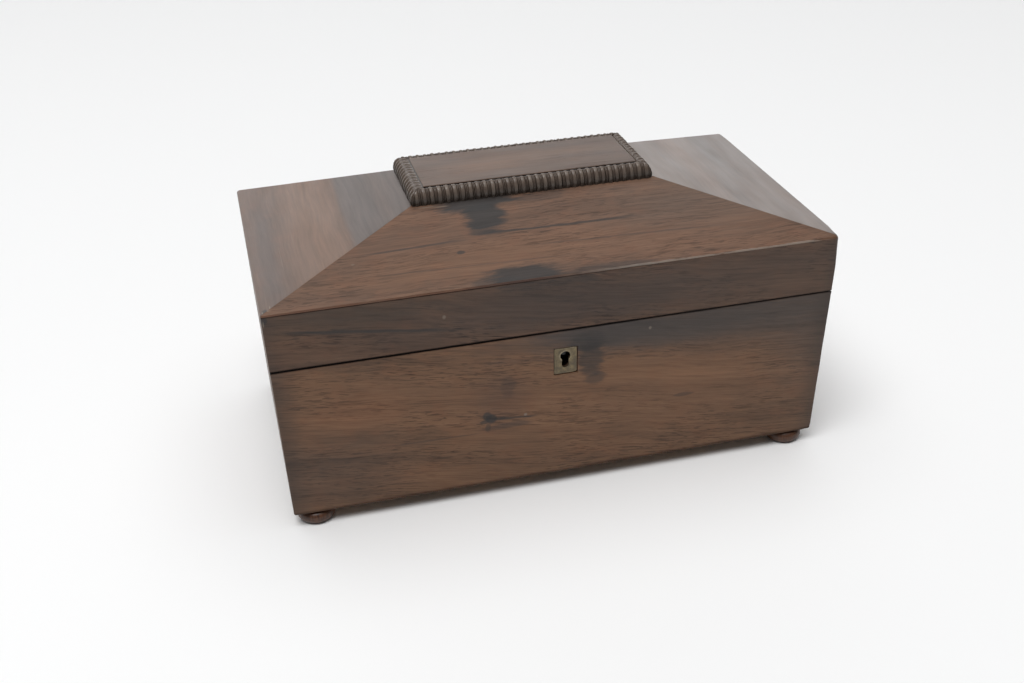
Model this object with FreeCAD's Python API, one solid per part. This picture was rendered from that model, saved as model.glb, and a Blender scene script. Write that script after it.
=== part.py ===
import FreeCAD, Part
import math
import os

V = FreeCAD.Vector

# Sarcophagus tea caddy: raked box on bun feet, hinged hipped lid with a
# raised tablet edged by carved gadroon moulding, two lift-out canisters and a
# glass mixing bowl inside.  Millimetres.  Origin on the floor under the
# middle of the box, +X to the right, +Y to the back, +Z up, front at -Y.

# ---------------------------------------------------------------- outside
EAVE_HALF_X = 155.0      # half width at the eave, the widest line
EAVE_HALF_Y = 83.4       # half depth at the eave
RAKE_X = 0.0312          # ends lean in by this much per mm going down
RAKE_Y = 0.0347          # front and back lean in likewise
FOOT_H = 8.5             # bun foot height
Z_PART = 100.35          # middle of the joint between box and lid
JOINT_GAP = 0.5          # gap between box rim and lid rim
Z_EAVE = 133.75          # eave arris
PLAQUE_HALF_X = 59.8     # raised tablet
PLAQUE_HALF_Y = 21.65
Z_HIP_TOP = 159.8        # where the hips meet the tablet's corners
Z_PLAQUE = 165.55        # top of the tablet
Z_CEIL = 151.0           # underside of the tablet
MOULD_W = 6.85           # gadroon moulding, width on plan
MOULD_TOP = 165.95       # lobe tops stand just above the tablet

# ---------------------------------------------------------------- boards
VENEER = 1.0             # saw-cut veneer
ROOF_T = 7.0             # sloping boards of the lid
BOTTOM_T = 7.0           # bottom board
INNER_X = 142.0          # half width inside the box and the lid rails
INNER_Y = 70.0           # half depth inside
LINING_T = 3.0           # padded lining under the roof

# ---------------------------------------------------------------- feet
FOOT_X, FOOT_Y = 138.5, 69.3
FOOT_R = 10.5
FOOT_FLAT_R = 6.6
DOWEL_R, DOWEL_L = 3.5, 6.0
DOWEL_PLAY = 0.05        # glue room round the dowels

# ---------------------------------------------------------------- lock
KEY_X, KEY_Z = 0.9, 84.3            # centre of the keyhole's round head
KEY_R = 2.8
KEY_SLOT_W0, KEY_SLOT_W1 = 3.4, 3.9  # slot width under the head and at its foot
KEY_DROP = 7.1                      # head centre to the foot of the slot
ESC_X, ESC_Z, ESC_W, ESC_H = 1.0, 81.45, 12.8, 16.0
ESC_T = 1.5
LOCK_HALF, CAP_HALF = 26.0, 21.8
LOCK_Z0, CAP_Z0 = 72.0, 74.0
LOCK_T = 1.5
CAP_Y, CAP_WALL = -78.2, 0.7
SELV_Y = -79.0
BOLT_Y0, BOLT_Y1 = -76.4, -74.0
TONGUE_Y0, TONGUE_Y1 = -76.9, -71.9
TONGUE_X = (-8.0, 15.0)
TONGUE_T = 2.4
TONGUE_Z0 = 91.0

# ---------------------------------------------------------------- hinges
HINGE_X = 85.0           # hinge centres from the middle
HINGE_HALF = 21.0        # half length of a leaf
AXIS_Y, AXIS_Z = 82.6, Z_PART
BARREL_R = 2.3
PIN_R = 1.0
PIN_PLAY = 0.05
LEAF_T = 1.3
LEAF_Y0 = 71.8
KNUCKLE_HALF = 7.0       # half length of the middle knuckle
STOP_DEG = 48.0          # stop wings stand at plus and minus this angle
STOP_R = 4.6
STOP_T = 1.2

# ---------------------------------------------------------------- inside
DECK_TOP = 92.5
DECK_T = 6.0
PART_X0, PART_X1 = 51.5, 57.5
REBATE = 3.0
HOLE_R = 47.4            # hole in the deck
COLLAR_R = 46.2          # inside of the velvet collar
BOWL_R = 45.6
BOWL_TOP = 96.5
REST = 0.2               # air under the loose pieces
CAN_X0, CAN_X1 = 58.0, 141.3
CAN_HALF_Y = 69.3
CAN_WALL, CAN_FLOOR = 4.5, 5.0
CAN_TOP = 87.2
CANLID_Z0 = 87.5
FOIL_T = 0.4
PIVOT_Y, PIVOT_Z, PIVOT_R = 66.5, 90.0, 0.9
EAR_Y0 = 63.0
KNOB_Y = -52.0

Z_BODY = FOOT_H
Z_FLOOR = Z_BODY + BOTTOM_T
Z_BOX1 = Z_PART - JOINT_GAP / 2
Z_LID0 = Z_PART + JOINT_GAP / 2
SX = (Z_HIP_TOP - Z_EAVE) / (EAVE_HALF_X - PLAQUE_HALF_X)
SY = (Z_HIP_TOP - Z_EAVE) / (EAVE_HALF_Y - PLAQUE_HALF_Y)


# ================================================================ helpers
def plane(nx, ny, nz, d, inset=0.0):
    n = math.sqrt(nx * nx + ny * ny + nz * nz)
    return (nx / n, ny / n, nz / n, d / n - inset)


def flip(p):
    return (-p[0], -p[1], -p[2], -p[3])


def front(t=0.0):
    return plane(0, -1, -RAKE_Y, EAVE_HALF_Y - RAKE_Y * Z_EAVE, t)


def back(t=0.0):
    return plane(0, 1, -RAKE_Y, EAVE_HALF_Y - RAKE_Y * Z_EAVE, t)


def left(t=0.0):
    return plane(-1, 0, -RAKE_X, EAVE_HALF_X - RAKE_X * Z_EAVE, t)


def right(t=0.0):
    return plane(1, 0, -RAKE_X, EAVE_HALF_X - RAKE_X * Z_EAVE, t)


def roof_f(t=0.0):
    return plane(0, -SY, 1, Z_EAVE + SY * EAVE_HALF_Y, t)


def roof_b(t=0.0):
    return plane(0, SY, 1, Z_EAVE + SY * EAVE_HALF_Y, t)


def roof_l(t=0.0):
    return plane(-SX, 0, 1, Z_EAVE + SX * EAVE_HALF_X, t)


def roof_r(t=0.0):
    return plane(SX, 0, 1, Z_EAVE + SX * EAVE_HALF_X, t)


def above(z):
    return (0, 0, -1, -z)


def below(z):
    return (0, 0, 1, z)


def x_max(v):
    return (1, 0, 0, v)


def x_min(v):
    return (-1, 0, 0, -v)


def y_max(v):
    return (0, 1, 0, v)


def y_min(v):
    return (0, -1, 0, -v)


def hip(sx, sy):
    """Upright mitre plane under one hip; keeps the front or back board's side."""
    nx = sx * (EAVE_HALF_Y - PLAQUE_HALF_Y)
    ny = -sy * (EAVE_HALF_X - PLAQUE_HALF_X)
    return plane(nx, ny, 0, nx * sx * PLAQUE_HALF_X + ny * sy * PLAQUE_HALF_Y)


def poly(planes):
    """Convex solid bounded by half-spaces n.p <= d."""
    verts = []
    n = len(planes)
    for i in range(n):
        for j in range(i + 1, n):
            for k in range(j + 1, n):
                a, b, c = planes[i], planes[j], planes[k]
                A, B, C = V(*a[:3]), V(*b[:3]), V(*c[:3])
                det = A.dot(B.cross(C))
                if abs(det) < 1e-9:
                    continue
                p = (B.cross(C) * a[3] + C.cross(A) * b[3] + A.cross(B) * c[3]) * (1.0 / det)
                if all(q[0] * p.x + q[1] * p.y + q[2] * p.z <= q[3] + 1e-6 for q in planes):
                    if all((p - w).Length > 1e-4 for w in verts):
                        verts.append(p)
    faces = []
    for q in planes:
        N = V(*q[:3])
        on = [p for p in verts if abs(N.dot(p) - q[3]) < 1e-4]
        if len(on) < 3:
            continue
        c = V(0, 0, 0)
        for p in on:
            c = c + p
        c = c * (1.0 / len(on))
        u = (on[0] - c)
        u.normalize()
        w = N.cross(u)
        on.sort(key=lambda p: math.atan2((p - c).dot(w), (p - c).dot(u)))
        faces.append(Part.Face(Part.makePolygon(on + [on[0]])))
    s = Part.Solid(Part.makeShell(faces))
    if s.Volume < 0:
        s.reverse()
    return s


def box(x0, x1, y0, y1, z0, z1):
    return Part.makeBox(x1 - x0, y1 - y0, z1 - z0, V(x0, y0, z0))


def cyl(p, d, r, h):
    return Part.makeCylinder(r, h, V(*p), V(*d))


def extrude_xz(pts, y0, y1):
    w = Part.makePolygon([V(x, y0, z) for x, z in pts + [pts[0]]])
    return Part.Face(w).extrude(V(0, y1 - y0, 0))


def revolve(edges, p=(0, 0, 0)):
    f = Part.Face(Part.Wire(edges))
    s = f.revolve(V(0, 0, 0), V(0, 0, 1), 360)
    if s.ShapeType != "Solid":
        s = s.Solids[0]
    if s.Volume < 0:
        s.reverse()
    s.translate(V(*p))
    return s


def line(a, b):
    return Part.LineSegment(V(a[0], 0, a[1]), V(b[0], 0, b[1])).toShape()


def arc(a, m, b):
    return Part.Arc(V(a[0], 0, a[1]), V(m[0], 0, m[1]), V(b[0], 0, b[1])).toShape()


def chain(pts):
    return [line(pts[i], pts[(i + 1) % len(pts)]) for i in range(len(pts))]


def screw(p, d, head_r, head_h, shank_r, length, slot=True):
    """Countersunk wood screw with a slotted head; p is the middle of its top."""
    s = revolve(chain([(0, 0), (head_r, 0), (shank_r, head_h), (shank_r, length - 1.5), (0.25, length), (0, length)]))
    if slot:
        s = s.cut(box(-head_r - 1, head_r + 1, -0.22, 0.22, -0.1, 0.45))
    s.Placement = FreeCAD.Placement(V(*p), FreeCAD.Rotation(V(0, 0, 1), V(*d)))
    return s


def fuse(shapes):
    s = shapes[0]
    for o in shapes[1:]:
        s = s.fuse(o)
    return s.removeSplitter()


def cut(s, tools):
    for t in tools:
        s = s.cut(t)
    return s


NODES = {}


def node(name, shape):
    sol = shape.Solids
    NODES[name] = sol[0] if len(sol) == 1 else Part.makeCompound(sol)


def mirror_x(s):
    return s.mirror(V(0, 0, 0), V(1, 0, 0))


# ================================================================ feet
foot_profile = [
    line((0, 0), (FOOT_FLAT_R, 0)),
    arc((FOOT_FLAT_R, 0), (FOOT_R, FOOT_R - FOOT_FLAT_R), (8.84, 7.09)),
    line((8.84, 7.09), (7.4, 7.3)),
    line((7.4, 7.3), (7.4, FOOT_H)),
    line((7.4, FOOT_H), (DOWEL_R, FOOT_H)),
    line((DOWEL_R, FOOT_H), (DOWEL_R, FOOT_H + DOWEL_L)),
    line((DOWEL_R, FOOT_H + DOWEL_L), (0, FOOT_H + DOWEL_L)),
    line((0, FOOT_H + DOWEL_L), (0, 0)),
]
feet = [revolve(foot_profile, (sx * FOOT_X, sy * FOOT_Y, 0)) for sx in (-1, 1) for sy in (-1, 1)]
node("bun_feet", Part.makeCompound(feet))
dowel_holes = [cyl((sx * FOOT_X, sy * FOOT_Y, FOOT_H), (0, 0, 1), DOWEL_R + DOWEL_PLAY, DOWEL_L) for sx in (-1, 1) for sy in (-1, 1)]

# ================================================================ keyhole and escutcheon


def keyhole(grow, y0, y1):
    r = KEY_R + grow
    w0, w1 = KEY_SLOT_W0 / 2 + grow, KEY_SLOT_W1 / 2 + grow
    zb = KEY_Z - KEY_DROP + w1 - grow
    head = cyl((KEY_X, y0, KEY_Z), (0, 1, 0), r, y1 - y0)
    slot = extrude_xz([(KEY_X - w0, KEY_Z), (KEY_X + w0, KEY_Z), (KEY_X + w1, zb), (KEY_X - w1, zb)], y0, y1)
    foot = cyl((KEY_X, y0, zb), (0, 1, 0), w1, y1 - y0)
    return [head, slot, foot]


def esc_prism(dl, dr, db, dt, t0, t1):
    return poly([front(t0), flip(front(t1)), x_min(ESC_X - ESC_W / 2 - dl), x_max(ESC_X + ESC_W / 2 + dr),
                 above(ESC_Z - ESC_H / 2 - db), below(ESC_Z + ESC_H / 2 + dt)])


esc = esc_prism(0, 0, 0, 0, 0.08, ESC_T)
esc = cut(esc, keyhole(0, -90, -75))
node("escutcheon", esc)
esc_hole = esc_prism(0.15, 0.45, 0.4, 0.15, -1.0, VENEER)
esc_bed = esc_prism(0, 0, 0, 0, VENEER - 0.5, ESC_T)

# ================================================================ lock
plate = fuse([
    box(-LOCK_HALF, LOCK_HALF, -INNER_Y - LOCK_T, -INNER_Y, LOCK_Z0, Z_BOX1),
    box(-LOCK_HALF, LOCK_HALF, SELV_Y, -INNER_Y, Z_BOX1 - LOCK_T, Z_BOX1),
    cyl((KEY_X, -INNER_Y - LOCK_T - 6.6, KEY_Z), (0, 1, 0), 1.2, 7.0),
])
plate = cut(plate, [box(tx - TONGUE_T / 2 - 0.6, tx + TONGUE_T / 2 + 0.6, TONGUE_Y0 - 0.7, -INNER_Y - LOCK_T, 90, 110) for tx in TONGUE_X])
lock_screw_at = [((sx * 23.9, -INNER_Y, z), (0, -1, 0)) for sx in (-1, 1) for z in (77.5, 93.0)]
lock_screw_args = (1.9, 1.5, 0.95, 7.0)
plate = cut(plate, [screw(p, d, *lock_screw_args, slot=False) for p, d in lock_screw_at])
node("lock_plate", plate)
node("lock_screws", Part.makeCompound([screw(p, d, *lock_screw_args) for p, d in lock_screw_at]))

cap_solid = box(-CAP_HALF, CAP_HALF, CAP_Y, -INNER_Y - LOCK_T, CAP_Z0, Z_BOX1 - LOCK_T)
cap = cap_solid.cut(box(-CAP_HALF + 0.8, CAP_HALF - 0.8, CAP_Y + CAP_WALL, -60, CAP_Z0 + 0.8, 120))
cap = cut(cap, keyhole(0.6, CAP_Y - 1, CAP_Y + CAP_WALL + 0.5))
node("lock_cap", cap)

BAR_Z0, BAR_Z1, NOSE_Z0, NOSE_Z1 = 86.8, 90.4, 92.6, 96.0
bolt = extrude_xz([
    (-19, BAR_Z0), (-3.2, BAR_Z0), (-3.2, BAR_Z0 + 1.4), (-0.2, BAR_Z0 + 1.4), (-0.2, BAR_Z0), (7.5, BAR_Z0),
    (7.5, NOSE_Z0), (13, NOSE_Z0), (13, NOSE_Z1), (4, NOSE_Z1), (4, BAR_Z1), (-15.5, BAR_Z1),
    (-15.5, NOSE_Z0), (-10, NOSE_Z0), (-10, NOSE_Z1), (-19, NOSE_Z1)], BOLT_Y0, BOLT_Y1)
node("lock_bolt", bolt)

bow = [(-21.0, 81.4), (-17, 84.6), (-13, 86.2), (-9, 85.0), (-6.4, 82.4)]
bow_low = [(x, z - 0.55) for x, z in bow]
node("lock_spring", extrude_xz(bow + bow_low[::-1], BOLT_Y0 + 0.3, BOLT_Y1 - 0.3))

# link plate on the lid with two hooked tongues, open towards the front
link = box(-LOCK_HALF, LOCK_HALF, SELV_Y, -INNER_Y, Z_LID0, Z_LID0 + LOCK_T)
for tx in TONGUE_X:
    t = box(tx - TONGUE_T / 2, tx + TONGUE_T / 2, TONGUE_Y0, TONGUE_Y1, TONGUE_Z0, Z_LID0 + 0.5)
    t = t.cut(box(tx - 5, tx + 5, TONGUE_Y0 - 1.0, TONGUE_Y1 - 1.0, NOSE_Z0 - 0.4, NOSE_Z1 + 0.4))
    link = link.fuse(t)
link = link.removeSplitter()
link_screw_at = [((sx * 22.5, -74.5, Z_LID0), (0, 0, 1)) for sx in (-1, 1)]
link_screw_args = (2.1, 1.5, 1.0, 10.0)
link = cut(link, [screw(p, d, *link_screw_args, slot=False) for p, d in link_screw_at])
node("link_plate", link)
node("link_plate_screws", Part.makeCompound([screw(p, d, *link_screw_args) for p, d in link_screw_at]))

# ================================================================ hinges


def wing(sign):
    """Stop wing: its working face is radial to the hinge pin."""
    w = box(-HINGE_HALF, HINGE_HALF, 1.5, STOP_R, 0 if sign > 0 else -STOP_T, STOP_T if sign > 0 else 0)
    w.rotate(V(0, 0, 0), V(1, 0, 0), sign * STOP_DEG)
    w.translate(V(0, AXIS_Y, AXIS_Z))
    return w


def axis_cyl(x0, x1, r):
    return cyl((x0, AXIS_Y, AXIS_Z), (1, 0, 0), r, x1 - x0)


KG = 0.1
pin_hole = axis_cyl(-HINGE_HALF - 1, HINGE_HALF + 1, PIN_R)
run_hole = axis_cyl(-HINGE_HALF - 1, HINGE_HALF + 1, PIN_R + PIN_PLAY)
leaf_b = fuse([
    box(-HINGE_HALF, HINGE_HALF, LEAF_Y0, AXIS_Y, Z_BOX1 - LEAF_T, Z_BOX1),
    axis_cyl(-HINGE_HALF, -KNUCKLE_HALF - KG, BARREL_R),
    axis_cyl(KNUCKLE_HALF + KG, HINGE_HALF, BARREL_R),
    wing(-1),
])
leaf_b = cut(leaf_b, [axis_cyl(-KNUCKLE_HALF - KG, KNUCKLE_HALF + KG, BARREL_R + 0.35), pin_hole])
leaf_l = fuse([
    box(-HINGE_HALF, HINGE_HALF, LEAF_Y0, AXIS_Y, Z_LID0, Z_LID0 + LEAF_T),
    axis_cyl(-KNUCKLE_HALF + KG, KNUCKLE_HALF - KG, BARREL_R),
    wing(1),
])
leaf_l = cut(leaf_l, [axis_cyl(-HINGE_HALF - 1, -KNUCKLE_HALF + KG, BARREL_R + 0.35),
                      axis_cyl(KNUCKLE_HALF - KG, HINGE_HALF + 1, BARREL_R + 0.35), run_hole])
hs_args = (2.3, 1.3, 1.1, 9.5)
hs_box = [((dx, 76.2, Z_BOX1), (0, 0, -1)) for dx in (-14, 0, 14)]
hs_lid = [((dx, 76.2, Z_LID0), (0, 0, 1)) for dx in (-14, 0, 14)]
leaf_b = cut(leaf_b, [screw(p, d, *hs_args, slot=False) for p, d in hs_box])
leaf_l = cut(leaf_l, [screw(p, d, *hs_args, slot=False) for p, d in hs_lid])


def at_hinges(shapes):
    out = []
    for sx in (-1, 1):
        for s in shapes:
            c = s.copy()
            c.translate(V(sx * HINGE_X, 0, 0))
            out.append(c)
    return out


node("hinge_box_leaves", Part.makeCompound(at_hinges([leaf_b])))
node("hinge_lid_leaves", Part.makeCompound(at_hinges([leaf_l])))
node("hinge_pins", Part.makeCompound(at_hinges([axis_cyl(-HINGE_HALF, HINGE_HALF, PIN_R)])))
node("hinge_box_screws", Part.makeCompound(at_hinges([screw(p, d, *hs_args) for p, d in hs_box])))
node("hinge_lid_screws", Part.makeCompound(at_hinges([screw(p, d, *hs_args) for p, d in hs_lid])))
barrel_room = at_hinges([axis_cyl(-HINGE_HALF - 0.4, HINGE_HALF + 0.4, BARREL_R + 0.45)])
box_leaf_room = at_hinges([box(-HINGE_HALF, HINGE_HALF, LEAF_Y0, 90, Z_BOX1 - LEAF_T, Z_BOX1 + 1)])
lid_leaf_room = at_hinges([box(-HINGE_HALF, HINGE_HALF, LEAF_Y0, 90, Z_LID0 - 1, Z_LID0 + LEAF_T)])
hs_box_room = at_hinges([screw(p, d, *hs_args, slot=False) for p, d in hs_box])
hs_lid_room = at_hinges([screw(p, d, *hs_args, slot=False) for p, d in hs_lid])

# ================================================================ box
node("bottom_board", cut(poly([front(VENEER), back(VENEER), left(VENEER), right(VENEER), above(Z_BODY), below(Z_FLOOR)]), dowel_holes))

c_front = poly([front(VENEER), y_max(-INNER_Y), left(VENEER), right(VENEER), above(Z_FLOOR), below(Z_BOX1)])
c_front = cut(c_front, [
    cap_solid,
    box(-LOCK_HALF, LOCK_HALF, -INNER_Y - LOCK_T, -60, LOCK_Z0, 120),
    box(-LOCK_HALF, LOCK_HALF, SELV_Y, -60, Z_BOX1 - LOCK_T, 120),
    esc_bed,
] + keyhole(0.6, -90, -77) + [screw(p, d, *lock_screw_args, slot=False) for p, d in lock_screw_at])
node("carcase_front", c_front)

c_back = poly([back(VENEER), y_min(INNER_Y), left(VENEER), right(VENEER), above(Z_FLOOR), below(Z_BOX1)])
node("carcase_back", cut(c_back, barrel_room + box_leaf_room + hs_box_room))
node("carcase_left", poly([left(VENEER), x_max(-INNER_X), y_min(-INNER_Y), y_max(INNER_Y), above(Z_FLOOR), below(Z_BOX1)]))
node("carcase_right", poly([right(VENEER), x_min(INNER_X), y_min(-INNER_Y), y_max(INNER_Y), above(Z_FLOOR), below(Z_BOX1)]))

node("veneer_front", poly([front(), flip(front(VENEER)), left(), right(), above(Z_BODY), below(Z_BOX1)]).cut(esc_hole))
v_back = poly([back(), flip(back(VENEER)), left(), right(), above(Z_BODY), below(Z_BOX1)])
node("veneer_back", cut(v_back, barrel_room + box_leaf_room))
node("veneer_left", poly([left(), flip(left(VENEER)), front(VENEER), back(VENEER), above(Z_BODY), below(Z_BOX1)]))
node("veneer_right", poly([right(), flip(right(VENEER)), front(VENEER), back(VENEER), above(Z_BODY), below(Z_BOX1)]))

# ================================================================ inside of the box
part_r = box(PART_X0, PART_X1, -INNER_Y, INNER_Y, Z_FLOOR, DECK_TOP)
part_r = part_r.cut(box(PART_X0 - 1, PART_X0 + REBATE, -80, 80, DECK_TOP - DECK_T, DECK_TOP + 1))
node("partition_right", part_r)
node("partition_left", mirror_x(part_r))
deck = box(-PART_X0 - REBATE, PART_X0 + REBATE, -INNER_Y, INNER_Y, DECK_TOP - DECK_T, DECK_TOP)
node("well_deck", deck.cut(cyl((0, 0, 0), (0, 0, 1), HOLE_R, 200)))
node("well_collar", cyl((0, 0, DECK_TOP - DECK_T), (0, 0, 1), HOLE_R, DECK_T + 0.4).cut(cyl((0, 0, 0), (0, 0, 1), COLLAR_R, 200)))

zb = Z_FLOOR + REST
bowl_profile = [
    line((0, zb), (30, zb)),
    arc((30, zb), (40.2, zb + 6.5), (44.4, zb + 22)),
    line((44.4, zb + 22), (BOWL_R, BOWL_TOP - 1.6)),
    arc((BOWL_R, BOWL_TOP - 1.6), (BOWL_R - 1.6, BOWL_TOP), (BOWL_R - 3.2, BOWL_TOP - 1.6)),
    line((BOWL_R - 3.2, BOWL_TOP - 1.6), (41.0, zb + 24)),
    arc((41.0, zb + 24), (36.6, zb + 10.5), (27, zb + 5.5)),
    line((27, zb + 5.5), (0, zb + 5.5)),
    line((0, zb + 5.5), (0, zb)),
]
node("mixing_bowl", revolve(bowl_profile))

# ================================================================ canisters
cz = Z_FLOOR + REST
cx = (CAN_X0 + CAN_X1) / 2
can = box(CAN_X0, CAN_X1, -CAN_HALF_Y, CAN_HALF_Y, cz, CAN_TOP)
for x0, x1 in ((CAN_X0, CAN_X0 + CAN_WALL), (CAN_X1 - CAN_WALL, CAN_X1)):
    can = can.fuse(box(x0, x1, EAR_Y0, CAN_HALF_Y, CAN_TOP - 1, DECK_TOP))
can = can.removeSplitter()
room = box(CAN_X0 + CAN_WALL, CAN_X1 - CAN_WALL, -CAN_HALF_Y + CAN_WALL, CAN_HALF_Y - CAN_WALL, cz + CAN_FLOOR, 200)
can = can.cut(room)
pins = [cyl((CAN_X0 + 0.6, PIVOT_Y, PIVOT_Z), (1, 0, 0), PIVOT_R, 8.0),
        cyl((CAN_X1 - 0.6 - 8.0, PIVOT_Y, PIVOT_Z), (1, 0, 0), PIVOT_R, 8.0)]
can = cut(can, pins)
foil = room.common(box(0, 200, -100, 100, 0, CAN_TOP - 0.3))
foil = foil.cut(box(CAN_X0 + CAN_WALL + FOIL_T, CAN_X1 - CAN_WALL - FOIL_T, -CAN_HALF_Y + CAN_WALL + FOIL_T,
                    CAN_HALF_Y - CAN_WALL - FOIL_T, cz + CAN_FLOOR + FOIL_T, 200))
lid_front = box(CAN_X0, CAN_X1, -CAN_HALF_Y, PIVOT_Y - 5.0, CANLID_Z0, DECK_TOP)
lid_back = box(CAN_X0 + CAN_WALL + 0.3, CAN_X1 - CAN_WALL - 0.3, PIVOT_Y - 6.0, PIVOT_Y, CANLID_Z0, DECK_TOP)
nose = cyl((CAN_X0 + CAN_WALL + 0.3, PIVOT_Y, PIVOT_Z), (1, 0, 0), (DECK_TOP - CANLID_Z0) / 2, CAN_X1 - CAN_X0 - 2 * CAN_WALL - 0.6)
can_lid = fuse([lid_front, lid_back, nose])
can_lid = cut(can_lid, [cyl((CAN_X0 - 1, PIVOT_Y, PIVOT_Z), (1, 0, 0), PIVOT_R + PIN_PLAY, 10.0),
                        cyl((CAN_X1 - 9, PIVOT_Y, PIVOT_Z), (1, 0, 0), PIVOT_R + PIN_PLAY, 10.0)])
knob_dowel = cyl((cx, KNOB_Y, DECK_TOP - 4.0), (0, 0, 1), 2.0 + DOWEL_PLAY, 4.0)
can_lid = can_lid.cut(knob_dowel)
knob = revolve([
    line((0, -4.0), (2.0, -4.0)), line((2.0, -4.0), (2.0, 0)), line((2.0, 0), (4.4, 0)), line((4.4, 0), (4.4, 0.9)),
    arc((4.4, 0.9), (2.7, 2.0), (2.9, 3.2)), arc((2.9, 3.2), (5.0, 5.4), (2.6, 8.0)),
    line((2.6, 8.0), (0, 8.4)), line((0, 8.4), (0, -4.0))], (cx, KNOB_Y, DECK_TOP))
for side, f in (("right", lambda s: s), ("left", mirror_x)):
    node("canister_%s_box" % side, f(can))
    node("canister_%s_foil" % side, f(foil))
    node("canister_%s_pivot_pins" % side, f(Part.makeCompound(pins)))
    node("canister_%s_lid" % side, f(can_lid))
    node("canister_%s_knob" % side, f(knob))

# ================================================================ lid
UNDER = VENEER + ROOF_T
rf = poly([front(VENEER), y_max(-INNER_Y), left(VENEER), right(VENEER), above(Z_LID0), roof_f(UNDER), roof_l(UNDER), roof_r(UNDER)])
link_room = box(-LOCK_HALF, LOCK_HALF, SELV_Y, -60, Z_LID0 - 1, Z_LID0 + LOCK_T)
node("lid_rail_front", cut(rf, [link_room] + [screw(p, d, *link_screw_args, slot=False) for p, d in link_screw_at]))
rb = poly([back(VENEER), y_min(INNER_Y), left(VENEER), right(VENEER), above(Z_LID0), roof_b(UNDER), roof_l(UNDER), roof_r(UNDER)])
node("lid_rail_back", cut(rb, barrel_room + lid_leaf_room + hs_lid_room))
node("lid_rail_left", poly([left(VENEER), x_max(-INNER_X), y_min(-INNER_Y), y_max(INNER_Y), above(Z_LID0), roof_l(UNDER), roof_f(UNDER), roof_b(UNDER)]))
node("lid_rail_right", poly([right(VENEER), x_min(INNER_X), y_min(-INNER_Y), y_max(INNER_Y), above(Z_LID0), roof_r(UNDER), roof_f(UNDER), roof_b(UNDER)]))

node("lid_roof_front", poly([roof_f(VENEER), flip(roof_f(UNDER)), front(VENEER), y_max(-PLAQUE_HALF_Y), hip(-1, -1), hip(1, -1)]))
node("lid_roof_back", poly([roof_b(VENEER), flip(roof_b(UNDER)), back(VENEER), y_min(PLAQUE_HALF_Y), hip(-1, 1), hip(1, 1)]))
node("lid_roof_left", poly([roof_l(VENEER), flip(roof_l(UNDER)), left(VENEER), front(VENEER), back(VENEER), x_max(-PLAQUE_HALF_X), flip(hip(-1, -1)), flip(hip(-1, 1))]))
node("lid_roof_right", poly([roof_r(VENEER), flip(roof_r(UNDER)), right(VENEER), front(VENEER), back(VENEER), x_min(PLAQUE_HALF_X), flip(hip(1, -1)), flip(hip(1, 1))]))

tops = [roof_f(VENEER), roof_b(VENEER), roof_l(VENEER), roof_r(VENEER)]
node("lid_rail_veneer_front", poly([front(), flip(front(VENEER)), left(), right(), above(Z_LID0)] + tops))
rvb = poly([back(), flip(back(VENEER)), left(), right(), above(Z_LID0)] + tops)
node("lid_rail_veneer_back", cut(rvb, barrel_room + lid_leaf_room))
node("lid_rail_veneer_left", poly([left(), flip(left(VENEER)), front(VENEER), back(VENEER), above(Z_LID0)] + tops))
node("lid_rail_veneer_right", poly([right(), flip(right(VENEER)), front(VENEER), back(VENEER), above(Z_LID0)] + tops))

node("lid_roof_veneer_front", poly([roof_f(), flip(roof_f(VENEER)), front(), y_max(-PLAQUE_HALF_Y), hip(-1, -1), hip(1, -1)]))
node("lid_roof_veneer_back", poly([roof_b(), flip(roof_b(VENEER)), back(), y_min(PLAQUE_HALF_Y), hip(-1, 1), hip(1, 1)]))
node("lid_roof_veneer_left", poly([roof_l(), flip(roof_l(VENEER)), left(), x_max(-PLAQUE_HALF_X), flip(hip(-1, -1)), flip(hip(-1, 1))]))
node("lid_roof_veneer_right", poly([roof_r(), flip(roof_r(VENEER)), right(), x_min(PLAQUE_HALF_X), flip(hip(1, -1)), flip(hip(1, 1))]))

node("lid_tablet", box(-PLAQUE_HALF_X, PLAQUE_HALF_X, -PLAQUE_HALF_Y, PLAQUE_HALF_Y, Z_CEIL, Z_PLAQUE))

cavity = [x_min(-INNER_X), x_max(INNER_X), y_min(-INNER_Y), y_max(INNER_Y), above(120)]
outer = poly(cavity + [roof_f(UNDER), roof_b(UNDER), roof_l(UNDER), roof_r(UNDER), below(Z_CEIL)])
U2 = UNDER + LINING_T
inner = poly(cavity + [roof_f(U2), roof_b(U2), roof_l(U2), roof_r(U2), below(Z_CEIL - LINING_T)])
node("lid_lining", outer.cut(inner))

# carved moulding round the tablet, one mitred length on each side
roof_solid = poly([roof_f(), roof_b(), roof_l(), roof_r(), above(100), x_min(-200), x_max(200), y_min(-150), y_max(150)])


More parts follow.
